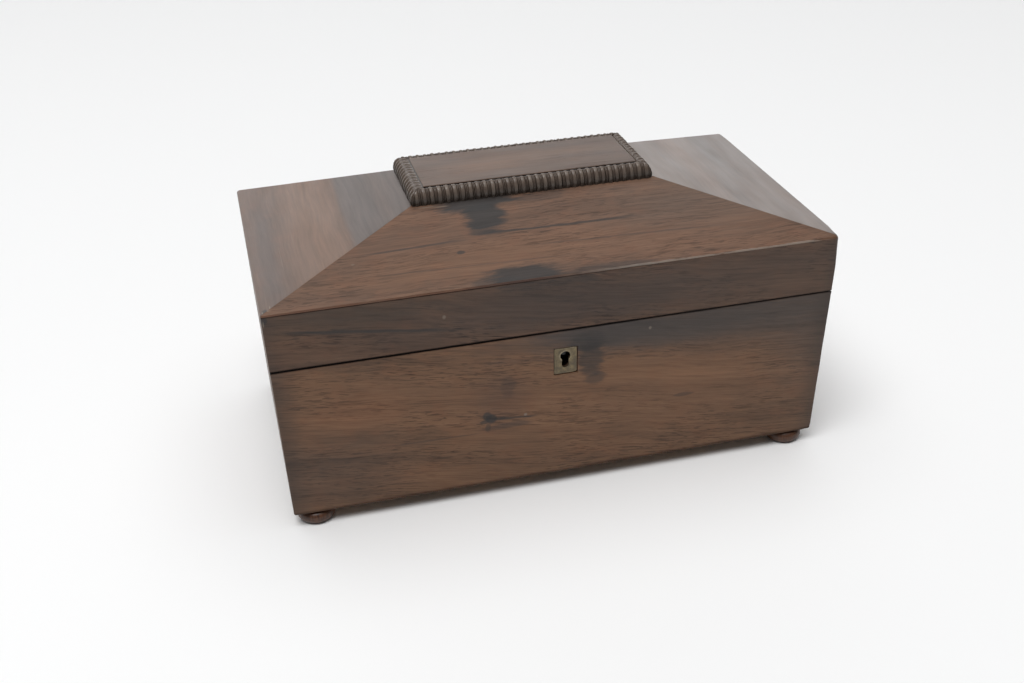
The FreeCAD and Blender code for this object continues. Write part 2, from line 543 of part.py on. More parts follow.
def moulding(half_long, half_short, along_x):
    """Quarter-round length lying against the tablet's side, seated on the slope."""
    i, o = half_short, half_short + MOULD_W
    prof = [
        Part.LineSegment(V(0, -o, 150), V(0, -i, 150)).toShape(),
        Part.LineSegment(V(0, -i, 150), V(0, -i, MOULD_TOP - 0.35)).toShape(),
        Part.LineSegment(V(0, -i, MOULD_TOP - 0.35), V(0, -i - 0.9, MOULD_TOP)).toShape(),
        Part.Arc(V(0, -i - 0.9, MOULD_TOP), V(0, -i - 5.35, MOULD_TOP - 2.9), V(0, -o, 157.6)).toShape(),
        Part.LineSegment(V(0, -o, 157.6), V(0, -o, 150)).toShape(),
    ]
    L = half_long + MOULD_W + 1
    s = Part.Face(Part.Wire(prof)).extrude(V(2 * L, 0, 0))
    s.translate(V(-L, 0, 0))
    for sx in (-1, 1):
        # keep what lies on this side's half of the mitre
        half = poly([plane(sx, 1, 0, half_long - half_short), above(100), below(200), x_min(-300), x_max(300), y_min(-200), y_max(200)])
        s = s.common(half)
    if not along_x:
        s.rotate(V(0, 0, 0), V(0, 0, 1), -90)
    return s.cut(roof_solid)


mf = moulding(PLAQUE_HALF_X, PLAQUE_HALF_Y, True)
node("gadroon_front", mf)
node("gadroon_back", mf.mirror(V(0, 0, 0), V(0, 1, 0)))
ml = moulding(PLAQUE_HALF_Y, PLAQUE_HALF_X, False)
node("gadroon_left", ml)
node("gadroon_right", mirror_x(ml))

# ================================================================ write
os.makedirs("parts", exist_ok=True)
lo = [1e9] * 3
hi = [-1e9] * 3
for name, s in sorted(NODES.items()):
    s.exportStep("parts/%s.step" % name)
    b = s.BoundBox
    for k, (a, c) in enumerate(((b.XMin, b.XMax), (b.YMin, b.YMax), (b.ZMin, b.ZMax))):
        lo[k] = min(lo[k], a)
        hi[k] = max(hi[k], c)
    if not s.isValid():
        print("NOT VALID", name)
    print("%-30s solids %2d  volume %10.2f mm3" % (name, len(s.Solids), s.Volume))
print(len(NODES), "nodes; box", [round(v, 2) for v in lo], [round(v, 2) for v in hi])
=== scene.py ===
import bpy
import bmesh
import math
import random
import numpy as np
from mathutils import Matrix, Vector, noise as perlin


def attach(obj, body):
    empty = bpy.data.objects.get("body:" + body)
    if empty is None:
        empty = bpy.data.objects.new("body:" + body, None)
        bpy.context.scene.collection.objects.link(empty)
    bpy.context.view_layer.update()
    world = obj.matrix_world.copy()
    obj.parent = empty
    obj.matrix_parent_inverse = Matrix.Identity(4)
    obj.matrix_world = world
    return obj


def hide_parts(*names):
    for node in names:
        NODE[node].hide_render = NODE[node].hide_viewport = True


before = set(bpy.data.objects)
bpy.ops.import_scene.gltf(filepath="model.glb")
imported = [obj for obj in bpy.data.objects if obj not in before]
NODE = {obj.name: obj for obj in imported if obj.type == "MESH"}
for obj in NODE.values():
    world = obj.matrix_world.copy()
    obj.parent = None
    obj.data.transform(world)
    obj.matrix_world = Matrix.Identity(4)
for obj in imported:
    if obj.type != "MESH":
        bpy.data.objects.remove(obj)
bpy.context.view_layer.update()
MM = 0.001
scene = bpy.context.scene

# ------------------------------------------------------------------ sizes, mm
EX, EY, Z_EAVE = 155.0, 83.4, 133.75          # eave
RX, RY = 0.0312, 0.0347                       # rake of the ends and of the front
Z_BODY, Z_BOX1, Z_LID0 = 8.5, 100.1, 100.6    # box bottom, box rim, lid rim
TX, TY, Z_TAB, Z_CEIL = 59.8, 21.65, 165.55, 151.0   # tablet
Z_HIP = 159.8
MW, M_TOP = 6.85, 165.95                      # gadroon moulding
VEN, UNDER = 1.0, 8.0
INX, INY = 142.0, 70.0
LINING = 3.0
SX = (Z_HIP - Z_EAVE) / (EX - TX)
SY = (Z_HIP - Z_EAVE) / (EY - TY)


# ------------------------------------------------------------------ geometry helpers
def plane(nx, ny, nz, d, inset=0.0):
    n = np.array([nx, ny, nz], float)
    s = np.linalg.norm(n)
    return n / s, d / s - inset


def front(t=0.0):
    return plane(0, -1, -RY, EY - RY * Z_EAVE, t)


def back(t=0.0):
    return plane(0, 1, -RY, EY - RY * Z_EAVE, t)


def left(t=0.0):
    return plane(-1, 0, -RX, EX - RX * Z_EAVE, t)


def right(t=0.0):
    return plane(1, 0, -RX, EX - RX * Z_EAVE, t)


def roof_f(t=0.0):
    return plane(0, -SY, 1, Z_EAVE + SY * EY, t)


def roof_b(t=0.0):
    return plane(0, SY, 1, Z_EAVE + SY * EY, t)


def roof_l(t=0.0):
    return plane(-SX, 0, 1, Z_EAVE + SX * EX, t)


def roof_r(t=0.0):
    return plane(SX, 0, 1, Z_EAVE + SX * EX, t)


def above(z):
    return plane(0, 0, -1, -z)


def below(z):
    return plane(0, 0, 1, z)


def hip(sx, sy):
    nx, ny = sx * (EY - TY), -sy * (EX - TX)
    return plane(nx, ny, 0, nx * sx * TX + ny * sy * TY)


def meet(a, b, c):
    return np.linalg.solve(np.array([a[0], b[0], c[0]]), np.array([a[1], b[1], c[1]]))


BOX_SOLID = [front(), back(), left(), right(), above(Z_BODY), below(Z_BOX1)]
LID_SOLID = [front(), back(), left(), right(), above(Z_LID0), roof_f(), roof_b(), roof_l(), roof_r()]


def worn(P, solid, r):
    """Points outside the solid with all its arrises rounded to radius r come in to that surface."""
    P = np.asarray(P, float)
    r = np.broadcast_to(np.asarray(r, float), (len(P),))
    X = P.copy()
    inc = [np.zeros_like(P) for _ in solid]
    for _ in range(48):
        for k, (n, d) in enumerate(solid):
            Y = X + inc[k]
            e = np.maximum(Y @ n - (d - r), 0.0)
            Xn = Y - e[:, None] * n
            inc[k] = Y - Xn
            X = Xn
    v = P - X
    L = np.linalg.norm(v, axis=1)
    out = L > r + 1e-7
    Q = P.copy()
    Q[out] = X[out] + v[out] * (r[out] / L[out])[:, None]
    return Q


def wob(p, scale, seed=0.0):
    """Smooth noise from -1 to 1 at a point in mm, features about scale mm across."""
    return perlin.noise(Vector((p[0] / scale + seed * 7.31, p[1] / scale - seed * 3.17, p[2] / scale + seed * 5.77)))


def stations(length, step, near=(0.0, 0.1, 0.22, 0.4, 0.65, 1.0, 1.5, 2.2, 3.2, 5.0), extra=()):
    """Places along a side, close together by its two ends."""
    near = [n for n in near if n < length * 0.45]
    a = near[-1]
    m = max(1, int(round((length - 2 * a) / step)))
    s = set(near) | set(length - n for n in near) | set(a + (length - 2 * a) * i / m for i in range(1, m))
    s = sorted(s)
    for e in extra:
        s = [v for v in s if abs(v - e) > 0.2] + [e]
    return np.array(sorted(s)) / length


def as_object(name, verts, faces, mat, smooth=35.0, marks=None):
    me = bpy.data.meshes.new(name)
    me.from_pydata([tuple(float(c) * MM for c in v) for v in verts], [], faces)
    if marks is not None:
        me.attributes.new("carve", "FLOAT", "POINT").data.foreach_set("value", marks)
    bm = bmesh.new()
    bm.from_mesh(me)
    bmesh.ops.remove_doubles(bm, verts=bm.verts, dist=2e-6)
    bmesh.ops.dissolve_degenerate(bm, edges=bm.edges, dist=1e-7)
    bmesh.ops.recalc_face_normals(bm, faces=bm.faces)
    bm.to_mesh(me)
    bm.free()
    for p in me.polygons:
        p.use_smooth = True
    me.set_sharp_from_angle(angle=math.radians(smooth))
    me.materials.append(mat)
    ob = bpy.data.objects.new(name, me)
    scene.collection.objects.link(ob)
    return ob


def panel(name, top, bottom, solid, radius, mat, step_u=4.0, step_v=6.0, skip=None, xu=(), xv=(), layers=(0.18, 0.4, 0.7)):
    """A thin board between two four-cornered faces, with its outer arrises worn round."""
    top, bottom = np.array(top, float), np.array(bottom, float)
    lu = (np.linalg.norm(top[1] - top[0]) + np.linalg.norm(top[2] - top[3])) / 2
    lv = (np.linalg.norm(top[3] - top[0]) + np.linalg.norm(top[2] - top[1])) / 2
    us, vs = stations(lu, step_u, extra=xu), stations(lv, step_v, extra=xv)
    nu, nv = len(us), len(vs)

    def grid(c):
        u, v = np.meshgrid(us, vs, indexing="ij")
        u, v = u[..., None], v[..., None]
        return (c[0] * (1 - u) * (1 - v) + c[1] * u * (1 - v) + c[2] * u * v + c[3] * (1 - u) * v).reshape(-1, 3)

    A, B = grid(top), grid(bottom)
    verts = [*A, *B]
    off = nu * nv
    idx = lambda i, j: i * nv + j
    keep = np.ones((nu - 1, nv - 1), bool)
    if skip is not None:
        for i in range(nu - 1):
            for j in range(nv - 1):
                c = (A[idx(i, j)] + A[idx(i + 1, j)] + A[idx(i + 1, j + 1)] + A[idx(i, j + 1)]) / 4
                keep[i, j] = not skip(c)
    faces, mid = [], {}

    def ladder(k):
        if k not in mid:
            mid[k] = [k]
            for t in layers:
                mid[k].append(len(verts))
                verts.append(A[k] * (1 - t) + B[k] * t)
            mid[k].append(k + off)
        return mid[k]

    for i in range(nu - 1):
        for j in range(nv - 1):
            if not keep[i, j]:
                continue
            q = [idx(i, j), idx(i + 1, j), idx(i + 1, j + 1), idx(i, j + 1)]
            faces.append(q)
            faces.append([k + off for k in reversed(q)])
            for (a, b), (di, dj) in (((0, 1), (0, -1)), ((1, 2), (1, 0)), ((2, 3), (0, 1)), ((3, 0), (-1, 0))):
                ii, jj = i + di, j + dj
                if 0 <= ii < nu - 1 and 0 <= jj < nv - 1 and keep[ii, jj]:
                    continue
                p, r = ladder(q[a]), ladder(q[b])
                for k in range(len(p) - 1):
                    faces.append([r[k], p[k], p[k + 1], r[k + 1]])
    V = np.array(verts)
    used = sorted({k for f in faces for k in f})
    remap = {k: n for n, k in enumerate(used)}
    V = V[used]
    V = worn(V, solid, radius(V))
    return as_object(name, V, [[remap[k] for k in f] for f in faces], mat)


# ------------------------------------------------------------------ material helper
class Graph:
    """Builds one material's node graph."""

    def __init__(self, name):
        self.mat = bpy.data.materials.new(name)
        self.mat.use_nodes = True
        self.tree = self.mat.node_tree
        self.tree.nodes.clear()
        self.out = self.node("ShaderNodeOutputMaterial")
        self.bsdf = self.node("ShaderNodeBsdfPrincipled")
        self.tree.links.new(self.bsdf.outputs["BSDF"], self.out.inputs["Surface"])
        tc = self.node("ShaderNodeTexCoord")
        self.obj = tc.outputs["Object"]
        sep = self.node("ShaderNodeSeparateXYZ")
        self.feed(sep.inputs[0], self.obj)
        self.axis = {"x": sep.outputs[0], "y": sep.outputs[1], "z": sep.outputs[2]}

    def node(self, kind):
        return self.tree.nodes.new(kind)

    def feed(self, socket, value):
        if isinstance(value, bpy.types.NodeSocket):
            self.tree.links.new(value, socket)
        elif value is not None:
            socket.default_value = value

    def math(self, op, a, b=None, c=None, clamp=False):
        n = self.node("ShaderNodeMath")
        n.operation, n.use_clamp = op, clamp
        for s, v in zip(n.inputs, (a, b, c)):
            self.feed(s, v)
        return n.outputs[0]

    def vec(self, op, a, b):
        n = self.node("ShaderNodeVectorMath")
        n.operation = op
        self.feed(n.inputs[0], a)
        self.feed(n.inputs[1], b)
        return n.outputs[0]

    def xyz(self, x, y, z):
        n = self.node("ShaderNodeCombineXYZ")
        for s, v in zip(n.inputs, (x, y, z)):
            self.feed(s, v)
        return n.outputs[0]

    def step(self, v, lo, hi, a=0.0, b=1.0):
        n = self.node("ShaderNodeMapRange")
        n.interpolation_type = "SMOOTHSTEP"
        for s, x in zip(n.inputs[:5], (v, lo, hi, a, b)):
            self.feed(s, x)
        return n.outputs[0]

    def mix(self, f, a, b, blend="MIX"):
        n = self.node("ShaderNodeMix")
        n.data_type, n.blend_type, n.clamp_factor = "RGBA", blend, True
        for i, v in ((0, f), (6, a), (7, b)):
            if isinstance(v, tuple) and len(v) == 3:
                v = (*v, 1.0)
            self.feed(n.inputs[i], v)
        return n.outputs[2]

    def noise(self, p, scale=1.0, detail=2.0, rough=0.5, distort=0.0):
        n = self.node("ShaderNodeTexNoise")
        n.noise_dimensions = "3D"
        self.feed(n.inputs["Vector"], p)
        n.inputs["Scale"].default_value = scale
        n.inputs["Detail"].default_value = detail
        n.inputs["Roughness"].default_value = rough
        n.inputs["Distortion"].default_value = distort
        return n.outputs["Fac"]

    def gain(self, colour, k):
        """Colour multiplied by a grey value socket."""
        n = self.node("ShaderNodeVectorMath")
        n.operation = "SCALE"
        self.feed(n.inputs[0], colour)
        self.feed(n.inputs["Scale"], k)
        return n.outputs[0]

    def bump(self, height, strength, distance):
        n = self.node("ShaderNodeBump")
        n.inputs["Strength"].default_value = strength
        n.inputs["Distance"].default_value = distance
        self.feed(n.inputs["Height"], height)
        self.feed(self.bsdf.inputs["Normal"], n.outputs[0])

    def set(self, **kw):
        names = {"colour": "Base Color", "rough": "Roughness", "metal": "Metallic", "spec": "Specular IOR Level", "ior": "IOR",
                 "sheen": "Sheen Weight", "sheen_rough": "Sheen Roughness", "sheen_tint": "Sheen Tint", "coat": "Coat Weight",
                 "coat_rough": "Coat Roughness", "trans": "Transmission Weight"}
        for k, v in kw.items():
            if isinstance(v, tuple) and len(v) == 3:
                v = (*v, 1.0)
            self.feed(self.bsdf.inputs[names[k]], v)


# ------------------------------------------------------------------ rosewood
PORE = (0.020, 0.012, 0.009)
CHAR = (0.030, 0.027, 0.026)
# near-black used as painted shade: in the parting gap, along the bottom edge, on the tablet's sides and behind the
# keyhole
SHADE_BLACK = (0.006, 0.005, 0.005)


def rosewood(name, grain, seed, dark, mid, warm, spots=(), veins=(), nicks=(), zones=(), grey_veil=None, edge=None, seams=(), arris=False, shade_below=None,
             rough=0.42, spec=0.28, pores=1.0, tilt=0.0):
    """Old polished veneer.  grain names the axes along the grain, across it and through it.
    spots: (along, across, half length, half width, strength) dark patches, mm
    veins: (along 0, along 1, across 0, across 1, width, strength) thin dark lines, mm
    nicks: (along, across, half length, half width, strength) pale bruises, mm
    zones: (along, across, half length, half width, strength, colour[, softness, raggedness]) areas of another tone, mm
    edge: (half length, width, strength) greying towards both ends of the board, mm
    seams: (across, half width, strength at the left, strength at the right, colour) lines of another colour along a
    joint, mm; the black ones at the parting line and bottom edge of the box and lid fronts are painted shade
    arris: line along the front eave, dark reddish on the left half and pale on the right half; the pale part is rubbed
    wear with a painted highlight
    sink: height below which the board is painted black, as shade in the gap beside the moulding, mm
    tilt: fall of the grain per unit length of the board"""
    g = Graph(name)
    u, v, w = (g.axis[a] for a in grain)
    P = g.vec("ADD", g.xyz(u, g.math("MULTIPLY_ADD", u, tilt, v), w), (seed * 0.371, seed * 0.733, seed * 1.19))
    drift = g.noise(g.vec("MULTIPLY", P, (9.0, 16.0, 16.0)), detail=1.0)
    drift2 = g.noise(g.vec("MULTIPLY", P, (38.0, 60.0, 60.0)), detail=1.0)
    shift = g.math("ADD", g.math("MULTIPLY", g.math("SUBTRACT", drift, 0.5), 0.012), g.math("MULTIPLY", g.math("SUBTRACT", drift2, 0.5), 0.0030))
    Q = g.vec("ADD", P, g.xyz(0.0, shift, 0.0))
    zone = g.step(g.noise(g.vec("MULTIPLY", Q, (9.0, 34.0, 34.0)), detail=4.0, rough=0.6), 0.34, 0.68)
    band = g.step(g.noise(g.vec("MULTIPLY", Q, (4.5, 120.0, 120.0)), detail=3.0, rough=0.55), 0.26, 0.66)
    fibre = g.noise(g.vec("MULTIPLY", Q, (26.0, 560.0, 560.0)), detail=3.0, rough=0.65)
    hair = g.noise(g.vec("MULTIPLY", Q, (90.0, 1900.0, 1900.0)), detail=1.0)
    mottle = g.noise(g.vec("MULTIPLY", P, (95.0, 140.0, 140.0)), detail=2.0)
    where = g.step(g.noise(g.vec("MULTIPLY", P, (15.0, 58.0, 58.0)), detail=2.0), 0.38, 0.62, 0.12, 1.0)
    pore = g.math("MULTIPLY", g.step(g.noise(g.vec("MULTIPLY", Q, (72.0, 880.0, 880.0)), detail=2.0, rough=0.6), 0.56, 0.635), where)
    short = g.math("MULTIPLY", g.step(g.noise(g.vec("MULTIPLY", Q, (150.0, 1450.0, 1450.0)), detail=1.5), 0.575, 0.635), where)
    long_pore = g.step(g.noise(g.vec("MULTIPLY", Q, (30.0, 1200.0, 1200.0)), detail=1.5), 0.59, 0.70)

    c = g.mix(band, dark, mid)
    c = g.mix(g.math("MULTIPLY", zone, 0.70), c, warm)
    c = g.mix(g.math("MULTIPLY", g.step(mottle, 0.45, 0.75), 0.35), c, tuple(k * f for k, f in zip(mid, (1.22, 0.98, 0.86))))
    c = g.gain(c, g.math("MULTIPLY_ADD", fibre, 0.70, 0.65))
    c = g.gain(c, g.math("MULTIPLY_ADD", hair, 0.36, 0.82))
    c = g.mix(g.math("MULTIPLY", pore, 0.60 * pores), c, PORE)
    c = g.mix(g.math("MULTIPLY", short, 0.66 * pores), c, PORE)
    c = g.mix(g.math("MULTIPLY", long_pore, 0.42 * pores), c, PORE)

    ragged = g.math("SUBTRACT", g.noise(g.vec("MULTIPLY", Q, (48.0, 260.0, 260.0)), detail=4.0, rough=0.65), 0.5)

    def patch(a0, b0, ra, rb, soft=0.30, rag=1.7):
        du = g.math("DIVIDE", g.math("SUBTRACT", u, a0 * MM), ra * MM)
        dv = g.math("DIVIDE", g.math("SUBTRACT", v, b0 * MM), rb * MM)
        r = g.math("SQRT", g.math("ADD", g.math("MULTIPLY", du, du), g.math("MULTIPLY", dv, dv)))
        r = g.math("ADD", r, g.math("MULTIPLY", ragged, rag))
        return g.step(r, 1.0 - soft, 1.0 + soft, 1.0, 0.0)

    # painted sheen: a grey veil in cloudy patches stands in for reflected light
    if grey_veil is not None:
        painted_sheen = g.step(g.noise(g.vec("MULTIPLY", P, (11.0, 20.0, 20.0)), detail=2.0), 0.3, 0.75, grey_veil[1] * 0.5, grey_veil[1])
        c = g.mix(painted_sheen, c, grey_veil[0])
    for a0, b0, ra, rb, k, tone, *blur in zones:
        c = g.mix(g.math("MULTIPLY", patch(a0, b0, ra, rb, *(blur or (0.75, 1.2))), k), c, g.gain(g.mix(0.0, tone, tone), g.math("MULTIPLY_ADD", fibre, 0.9, 0.55)))
    for a0, b0, ra, rb, k in spots:
        c = g.mix(g.math("MULTIPLY", patch(a0, b0, ra, rb), k), c, g.gain(g.mix(0.0, CHAR, CHAR), g.math("MULTIPLY_ADD", fibre, 1.2, 0.4)))
    for a0, a1, b0, b1, wd, k in veins:
        t = g.math("DIVIDE", g.math("SUBTRACT", u, a0 * MM), (a1 - a0) * MM)
        line = g.math("MULTIPLY_ADD", t, (b1 - b0) * MM, b0 * MM)
        off = g.math("ABSOLUTE", g.math("ADD", g.math("SUBTRACT", v, line), g.math("MULTIPLY", ragged, wd * MM * 2.2)))
        m = g.step(off, 0.15 * wd * MM, wd * MM, 1.0, 0.0)
        ends = g.math("MULTIPLY", g.step(t, 0.0, 0.22), g.step(t, 0.72, 1.0, 1.0, 0.0))
        c = g.mix(g.math("MULTIPLY", g.math("MULTIPLY", m, ends), k), c, CHAR)
    if edge is not None:
        far = g.math("ADD", g.math("ABSOLUTE", u), g.math("MULTIPLY", ragged, 0.006))
        m = g.step(far, (edge[0] - edge[1]) * MM, edge[0] * MM)
        c = g.mix(g.math("MULTIPLY", m, edge[2]), c, (0.040, 0.030, 0.026))
    for a0, b0, ra, rb, k in nicks:
        c = g.mix(g.math("MULTIPLY", patch(a0, b0, ra, rb, 0.5, 0.9), k), c, (0.21, 0.17, 0.135))
    dull = None
    # lines along joints; the black ones at the parting gap and along the bottom edge are painted shade
    for at, half_w, k0, k1, tone, *limit in seams:
        near = g.math("ABSOLUTE", g.math("SUBTRACT", v, at * MM))
        m = g.step(g.math("MULTIPLY_ADD", ragged, half_w * 0.6 * MM, near), half_w * 0.3 * MM, half_w * MM, 1.0, 0.0)
        for L in limit:
            m = g.math("MULTIPLY", m, g.step(g.math("ABSOLUTE", u), (L - 1.0) * MM, L * MM, 1.0, 0.0))
        m = g.math("MULTIPLY", m, g.step(u, -0.06, 0.12, k0, k1))
        c = g.mix(m, c, tone)
        if sum(tone) < 0.05:
            dull = m if dull is None else g.math("MAXIMUM", dull, m)
    # along the eave: a dark reddish line on the left half, and a pale line on the right half that is rubbed wear with a
    # painted highlight
    if arris:
        m = g.step(g.math("MULTIPLY_ADD", ragged, 0.0010, v), -0.0834, -0.08315, 1.0, 0.0)
        c = g.mix(g.math("MULTIPLY", m, g.step(u, -0.02, 0.05, 0.42, 0.50)), c, g.mix(g.step(u, -0.02, 0.05), (0.110, 0.036, 0.016), (0.37, 0.32, 0.27)))

    # painted shade: below this height the board is black, where it sits in the gap beside the moulding
    if shade_below is not None:
        c = g.mix(g.step(g.axis["z"], (shade_below - 0.3) * MM, shade_below * MM, 0.95, 0.0), c, SHADE_BLACK)
    r = g.math("MULTIPLY_ADD", g.noise(g.vec("MULTIPLY", P, (32.0, 110.0, 110.0)), detail=2.0), 0.20, rough - 0.10)
    r = g.math("MULTIPLY_ADD", pore, 0.18 * pores, r)
    g.set(colour=c, rough=r, spec=spec)
    if dull is not None:
        g.set(metal=dull)       # the near-black joint lines get no gloss; most of them are painted shade in gaps
    h = g.math("SUBTRACT", g.math("MULTIPLY", fibre, 0.35), g.math("MULTIPLY", g.math("ADD", pore, short), 0.6 * pores))
    g.bump(h, 0.22, 0.00016)
    return g.mat


W_DARK, W_MID, W_WARM = (0.086, 0.047, 0.027), (0.142, 0.076, 0.042), (0.203, 0.103, 0.053)
GREY = (0.062, 0.045, 0.037)

# painted shade: the black seam lines at the parting line (100.35 mm) and along the bottom edge (8 mm)
wood_box_front = rosewood(
    "rosewood_box_front", "xzy", 1.0, W_DARK, W_MID, W_WARM,
    zones=[(72, 94.5, 92, 11, 0.85, (0.052, 0.043, 0.039)), (20, 96.5, 33, 8.5, 0.78, (0.052, 0.044, 0.041), 0.45, 0.8), (50, 90, 40, 8, 0.50, (0.056, 0.046, 0.041), 0.6, 1.0), (105, 88, 62, 15, 0.62, (0.060, 0.048, 0.042)), (143, 78, 20, 30, 0.60, (0.066, 0.050, 0.042)), (-125, 30, 34, 22, 0.45, GREY), (-35, 62, 14, 16, 0.35, (0.070, 0.040, 0.032)), (70, 52, 62, 22, 0.38, (0.225, 0.116, 0.062)), (-112, 68, 20, 9, 0.35, (0.215, 0.096, 0.048))],
    spots=[(15.2, 80.5, 7.2, 11.5, 0.68), (17.5, 67, 6, 3.4, 0.50), (13, 91, 10, 6, 0.5), (-42.8, 53.6, 2.6, 2.8, 0.80), (-40.6, 51.4, 3.0, 3.0, 0.85), (-44.6, 49.8, 2.8, 1.3, 0.70), (-42.4, 46.4, 1.8, 2.6, 0.50), (-36.0, 50.9, 5.0, 1.0, 0.60), (-33, 45.5, 13, 2.0, 0.45), (70.1, 47.5, 6, 1.4, 0.45), (-31, 70, 4, 6, 0.3)],
    veins=[(-40, -12, 50.6, 49.0, 1.1, 0.75), (-100, -40, 44, 43, 0.8, 0.4)], nicks=[(48.3, 94.0, 0.8, 0.9, 0.55), (-21.5, 50.8, 0.9, 0.8, 0.75)], edge=(154, 16, 0.6), seams=[(100.35, 1.15, 0.97, 0.6, SHADE_BLACK), (8.0, 3.0, 0.6, 0.6, SHADE_BLACK)], pores=0.74, tilt=0.15)
# painted shade: the black seam line at the parting line (100.35 mm)
wood_lid_front = rosewood(
    "rosewood_lid_front", "xzy", 1.0, (0.062, 0.036, 0.024), (0.098, 0.055, 0.035), (0.138, 0.073, 0.042),
    zones=[(0, 118, 85, 16, 0.6, (0.044, 0.036, 0.033)), (112, 117, 60, 20, 0.40, (0.068, 0.048, 0.038)), (-120, 127, 45, 7, 0.45, (0.042, 0.036, 0.030))],
    spots=[(-153.6, 131.2, 1.8, 2.4, 0.95), (-5, 131, 26, 4, 0.5)],
    veins=[(-152, -46, 123.5, 108.5, 1.7, 0.8)], nicks=[(-63.7, 118.6, 0.9, 1.1, 0.55), (-151.6, 132.6, 2.4, 0.35, 0.7), (-153.9, 128.6, 0.3, 1.6, 0.6)],
    edge=(155, 10, 0.4), seams=[(100.35, 1.15, 0.97, 0.6, SHADE_BLACK), (132.9, 1.2, 0.92, 0.0, (0.018, 0.009, 0.007))], tilt=0.14)
# the pale right half of the eave line is partly a painted highlight
wood_roof_front = rosewood(
    "rosewood_roof_front", "xyz", 2.0, (0.093, 0.054, 0.036), (0.139, 0.077, 0.049), (0.182, 0.094, 0.055),
    zones=[(96, -46, 54, 20, 0.55, (0.125, 0.088, 0.068)), (-60, -70, 60, 12, 0.25, (0.20, 0.095, 0.045))],
    spots=[(-35, -29, 22, 6, 0.95), (-31, -40, 10.5, 10, 0.95), (-35, -49, 8, 3, 0.6), (-20, -79.5, 20, 5.5, 0.9), (-36, -82, 14, 2.5, 0.6), (-49, -61, 2.2, 1.2, 0.75), (22, -83, 26, 3, 0.55), (4, -30, 14, 3, 0.35)],
    veins=[(-43, 60, -51.2, -52.4, 1.2, 0.8), (-104, -40, -55.2, -53.4, 1.0, 0.65), (-20, 110, -62, -66, 0.9, 0.4), (-100, 20, -69, -72, 0.7, 0.35)],
    nicks=[(-105, -60, 1.0, 0.5, 0.35), (-151.4, -81.0, 1.8, 0.28, 0.9), (-52, -30, 4, 0.35, 0.5), (-60, -29.2, 5, 0.3, 0.5)], arris=True, pores=0.62)
# its greyer palette and its grey zones are a painted sheen of reflected light
wood_roof_left = rosewood(
    "rosewood_roof_left", "yxz", 3.0, (0.090, 0.060, 0.047), (0.124, 0.080, 0.060), (0.150, 0.088, 0.060),
    zones=[(0, -117, 110, 15, 0.60, (0.195, 0.110, 0.068), 0.8, 0.9), (0, -83.5, 140, 19, 0.72, (0.094, 0.082, 0.078), 0.10, 0.10), (-20, -146, 60, 5, 0.4, (0.088, 0.076, 0.074)), (20, -80, 60, 4, 0.25, (0.150, 0.100, 0.076))],
    spots=[(-81.5, -152.6, 2.6, 1.5, 0.9)], nicks=[(-78.5, -149.6, 1.6, 0.25, 0.9), (-81.2, -153.6, 1.2, 0.3, 0.9), (-30, -139, 16, 0.22, 0.35), (-10, -131, 12, 0.2, 0.3)], seams=[(-67.2, 0.7, 0.7, 0.7, (0.24, 0.215, 0.19), 27.5)], rough=0.38, spec=0.5, pores=0.05)
# its greyer palette, the grey veil and the grey zone are a painted sheen of reflected light
wood_roof_right = rosewood(
    "rosewood_roof_right", "yxz", 4.0, (0.090, 0.060, 0.047), (0.124, 0.080, 0.060), (0.150, 0.092, 0.064),
    grey_veil=((0.11, 0.095, 0.086), 0.4), zones=[(0, 103, 140, 5.5, 0.5, (0.175, 0.112, 0.082), 0.7, 0.5), (50, 128, 60, 6, 0.4, (0.082, 0.074, 0.068), 0.6, 0.5), (0, 84, 140, 6, 0.3, (0.145, 0.105, 0.082), 0.7, 0.5)], rough=0.36, spec=0.55, pores=0.04)
wood_roof_back = rosewood("rosewood_roof_back", "xyz", 5.0, (0.093, 0.054, 0.036), (0.139, 0.077, 0.049), (0.182, 0.094, 0.055), spots=[(30, 70, 26, 6, 0.6)], veins=[(-60, 90, 45, 48, 1.0, 0.5)])
# the grey veil on the tablet is a painted sheen of reflected light; below 165.25 mm its sides are painted black as
# shade in the gap beside the moulding
wood_tablet = rosewood("rosewood_tablet", "xyz", 6.0, (0.082, 0.054, 0.041), (0.112, 0.071, 0.051), (0.142, 0.082, 0.053), grey_veil=((0.094, 0.078, 0.070), 0.22),
                       zones=[(-24, -2, 24, 7, 0.5, (0.19, 0.105, 0.064)), (22, 6, 34, 6, 0.45, (0.165, 0.096, 0.062)), (10, -14, 40, 4, 0.3, (0.10, 0.078, 0.066))], rough=0.40, spec=0.34, pores=0.4, shade_below=165.25)
wood_box_back = rosewood("rosewood_box_back", "xzy", 7.0, W_DARK, W_MID, W_WARM, spots=[(-60, 60, 40, 9, 0.35)], edge=(154, 14, 0.5))
wood_lid_back = rosewood("rosewood_lid_back", "xzy", 7.0, (0.042, 0.028, 0.021), (0.082, 0.049, 0.034), (0.118, 0.066, 0.042), edge=(155, 12, 0.4))
wood_end = rosewood("rosewood_end", "yzx", 8.0, W_DARK, W_MID, (0.138, 0.072, 0.043), edge=(83, 10, 0.5))
wood_inside_x = rosewood("rosewood_inside_x", "xyz", 9.0, (0.060, 0.034, 0.023), (0.116, 0.060, 0.035), (0.170, 0.084, 0.046), rough=0.34)
wood_inside_y = rosewood("rosewood_inside_y", "yxz", 10.0, (0.056, 0.032, 0.022), (0.110, 0.057, 0.034), (0.165, 0.082, 0.045), rough=0.36)
wood_wall = rosewood("rosewood_wall", "yzx", 11.0, (0.060, 0.036, 0.025), (0.112, 0.062, 0.038), (0.155, 0.080, 0.046), rough=0.45)
wood_wall_x = rosewood("rosewood_wall_x", "xzy", 12.0, (0.060, 0.036, 0.025), (0.112, 0.062, 0.038), (0.155, 0.080, 0.046), rough=0.45)


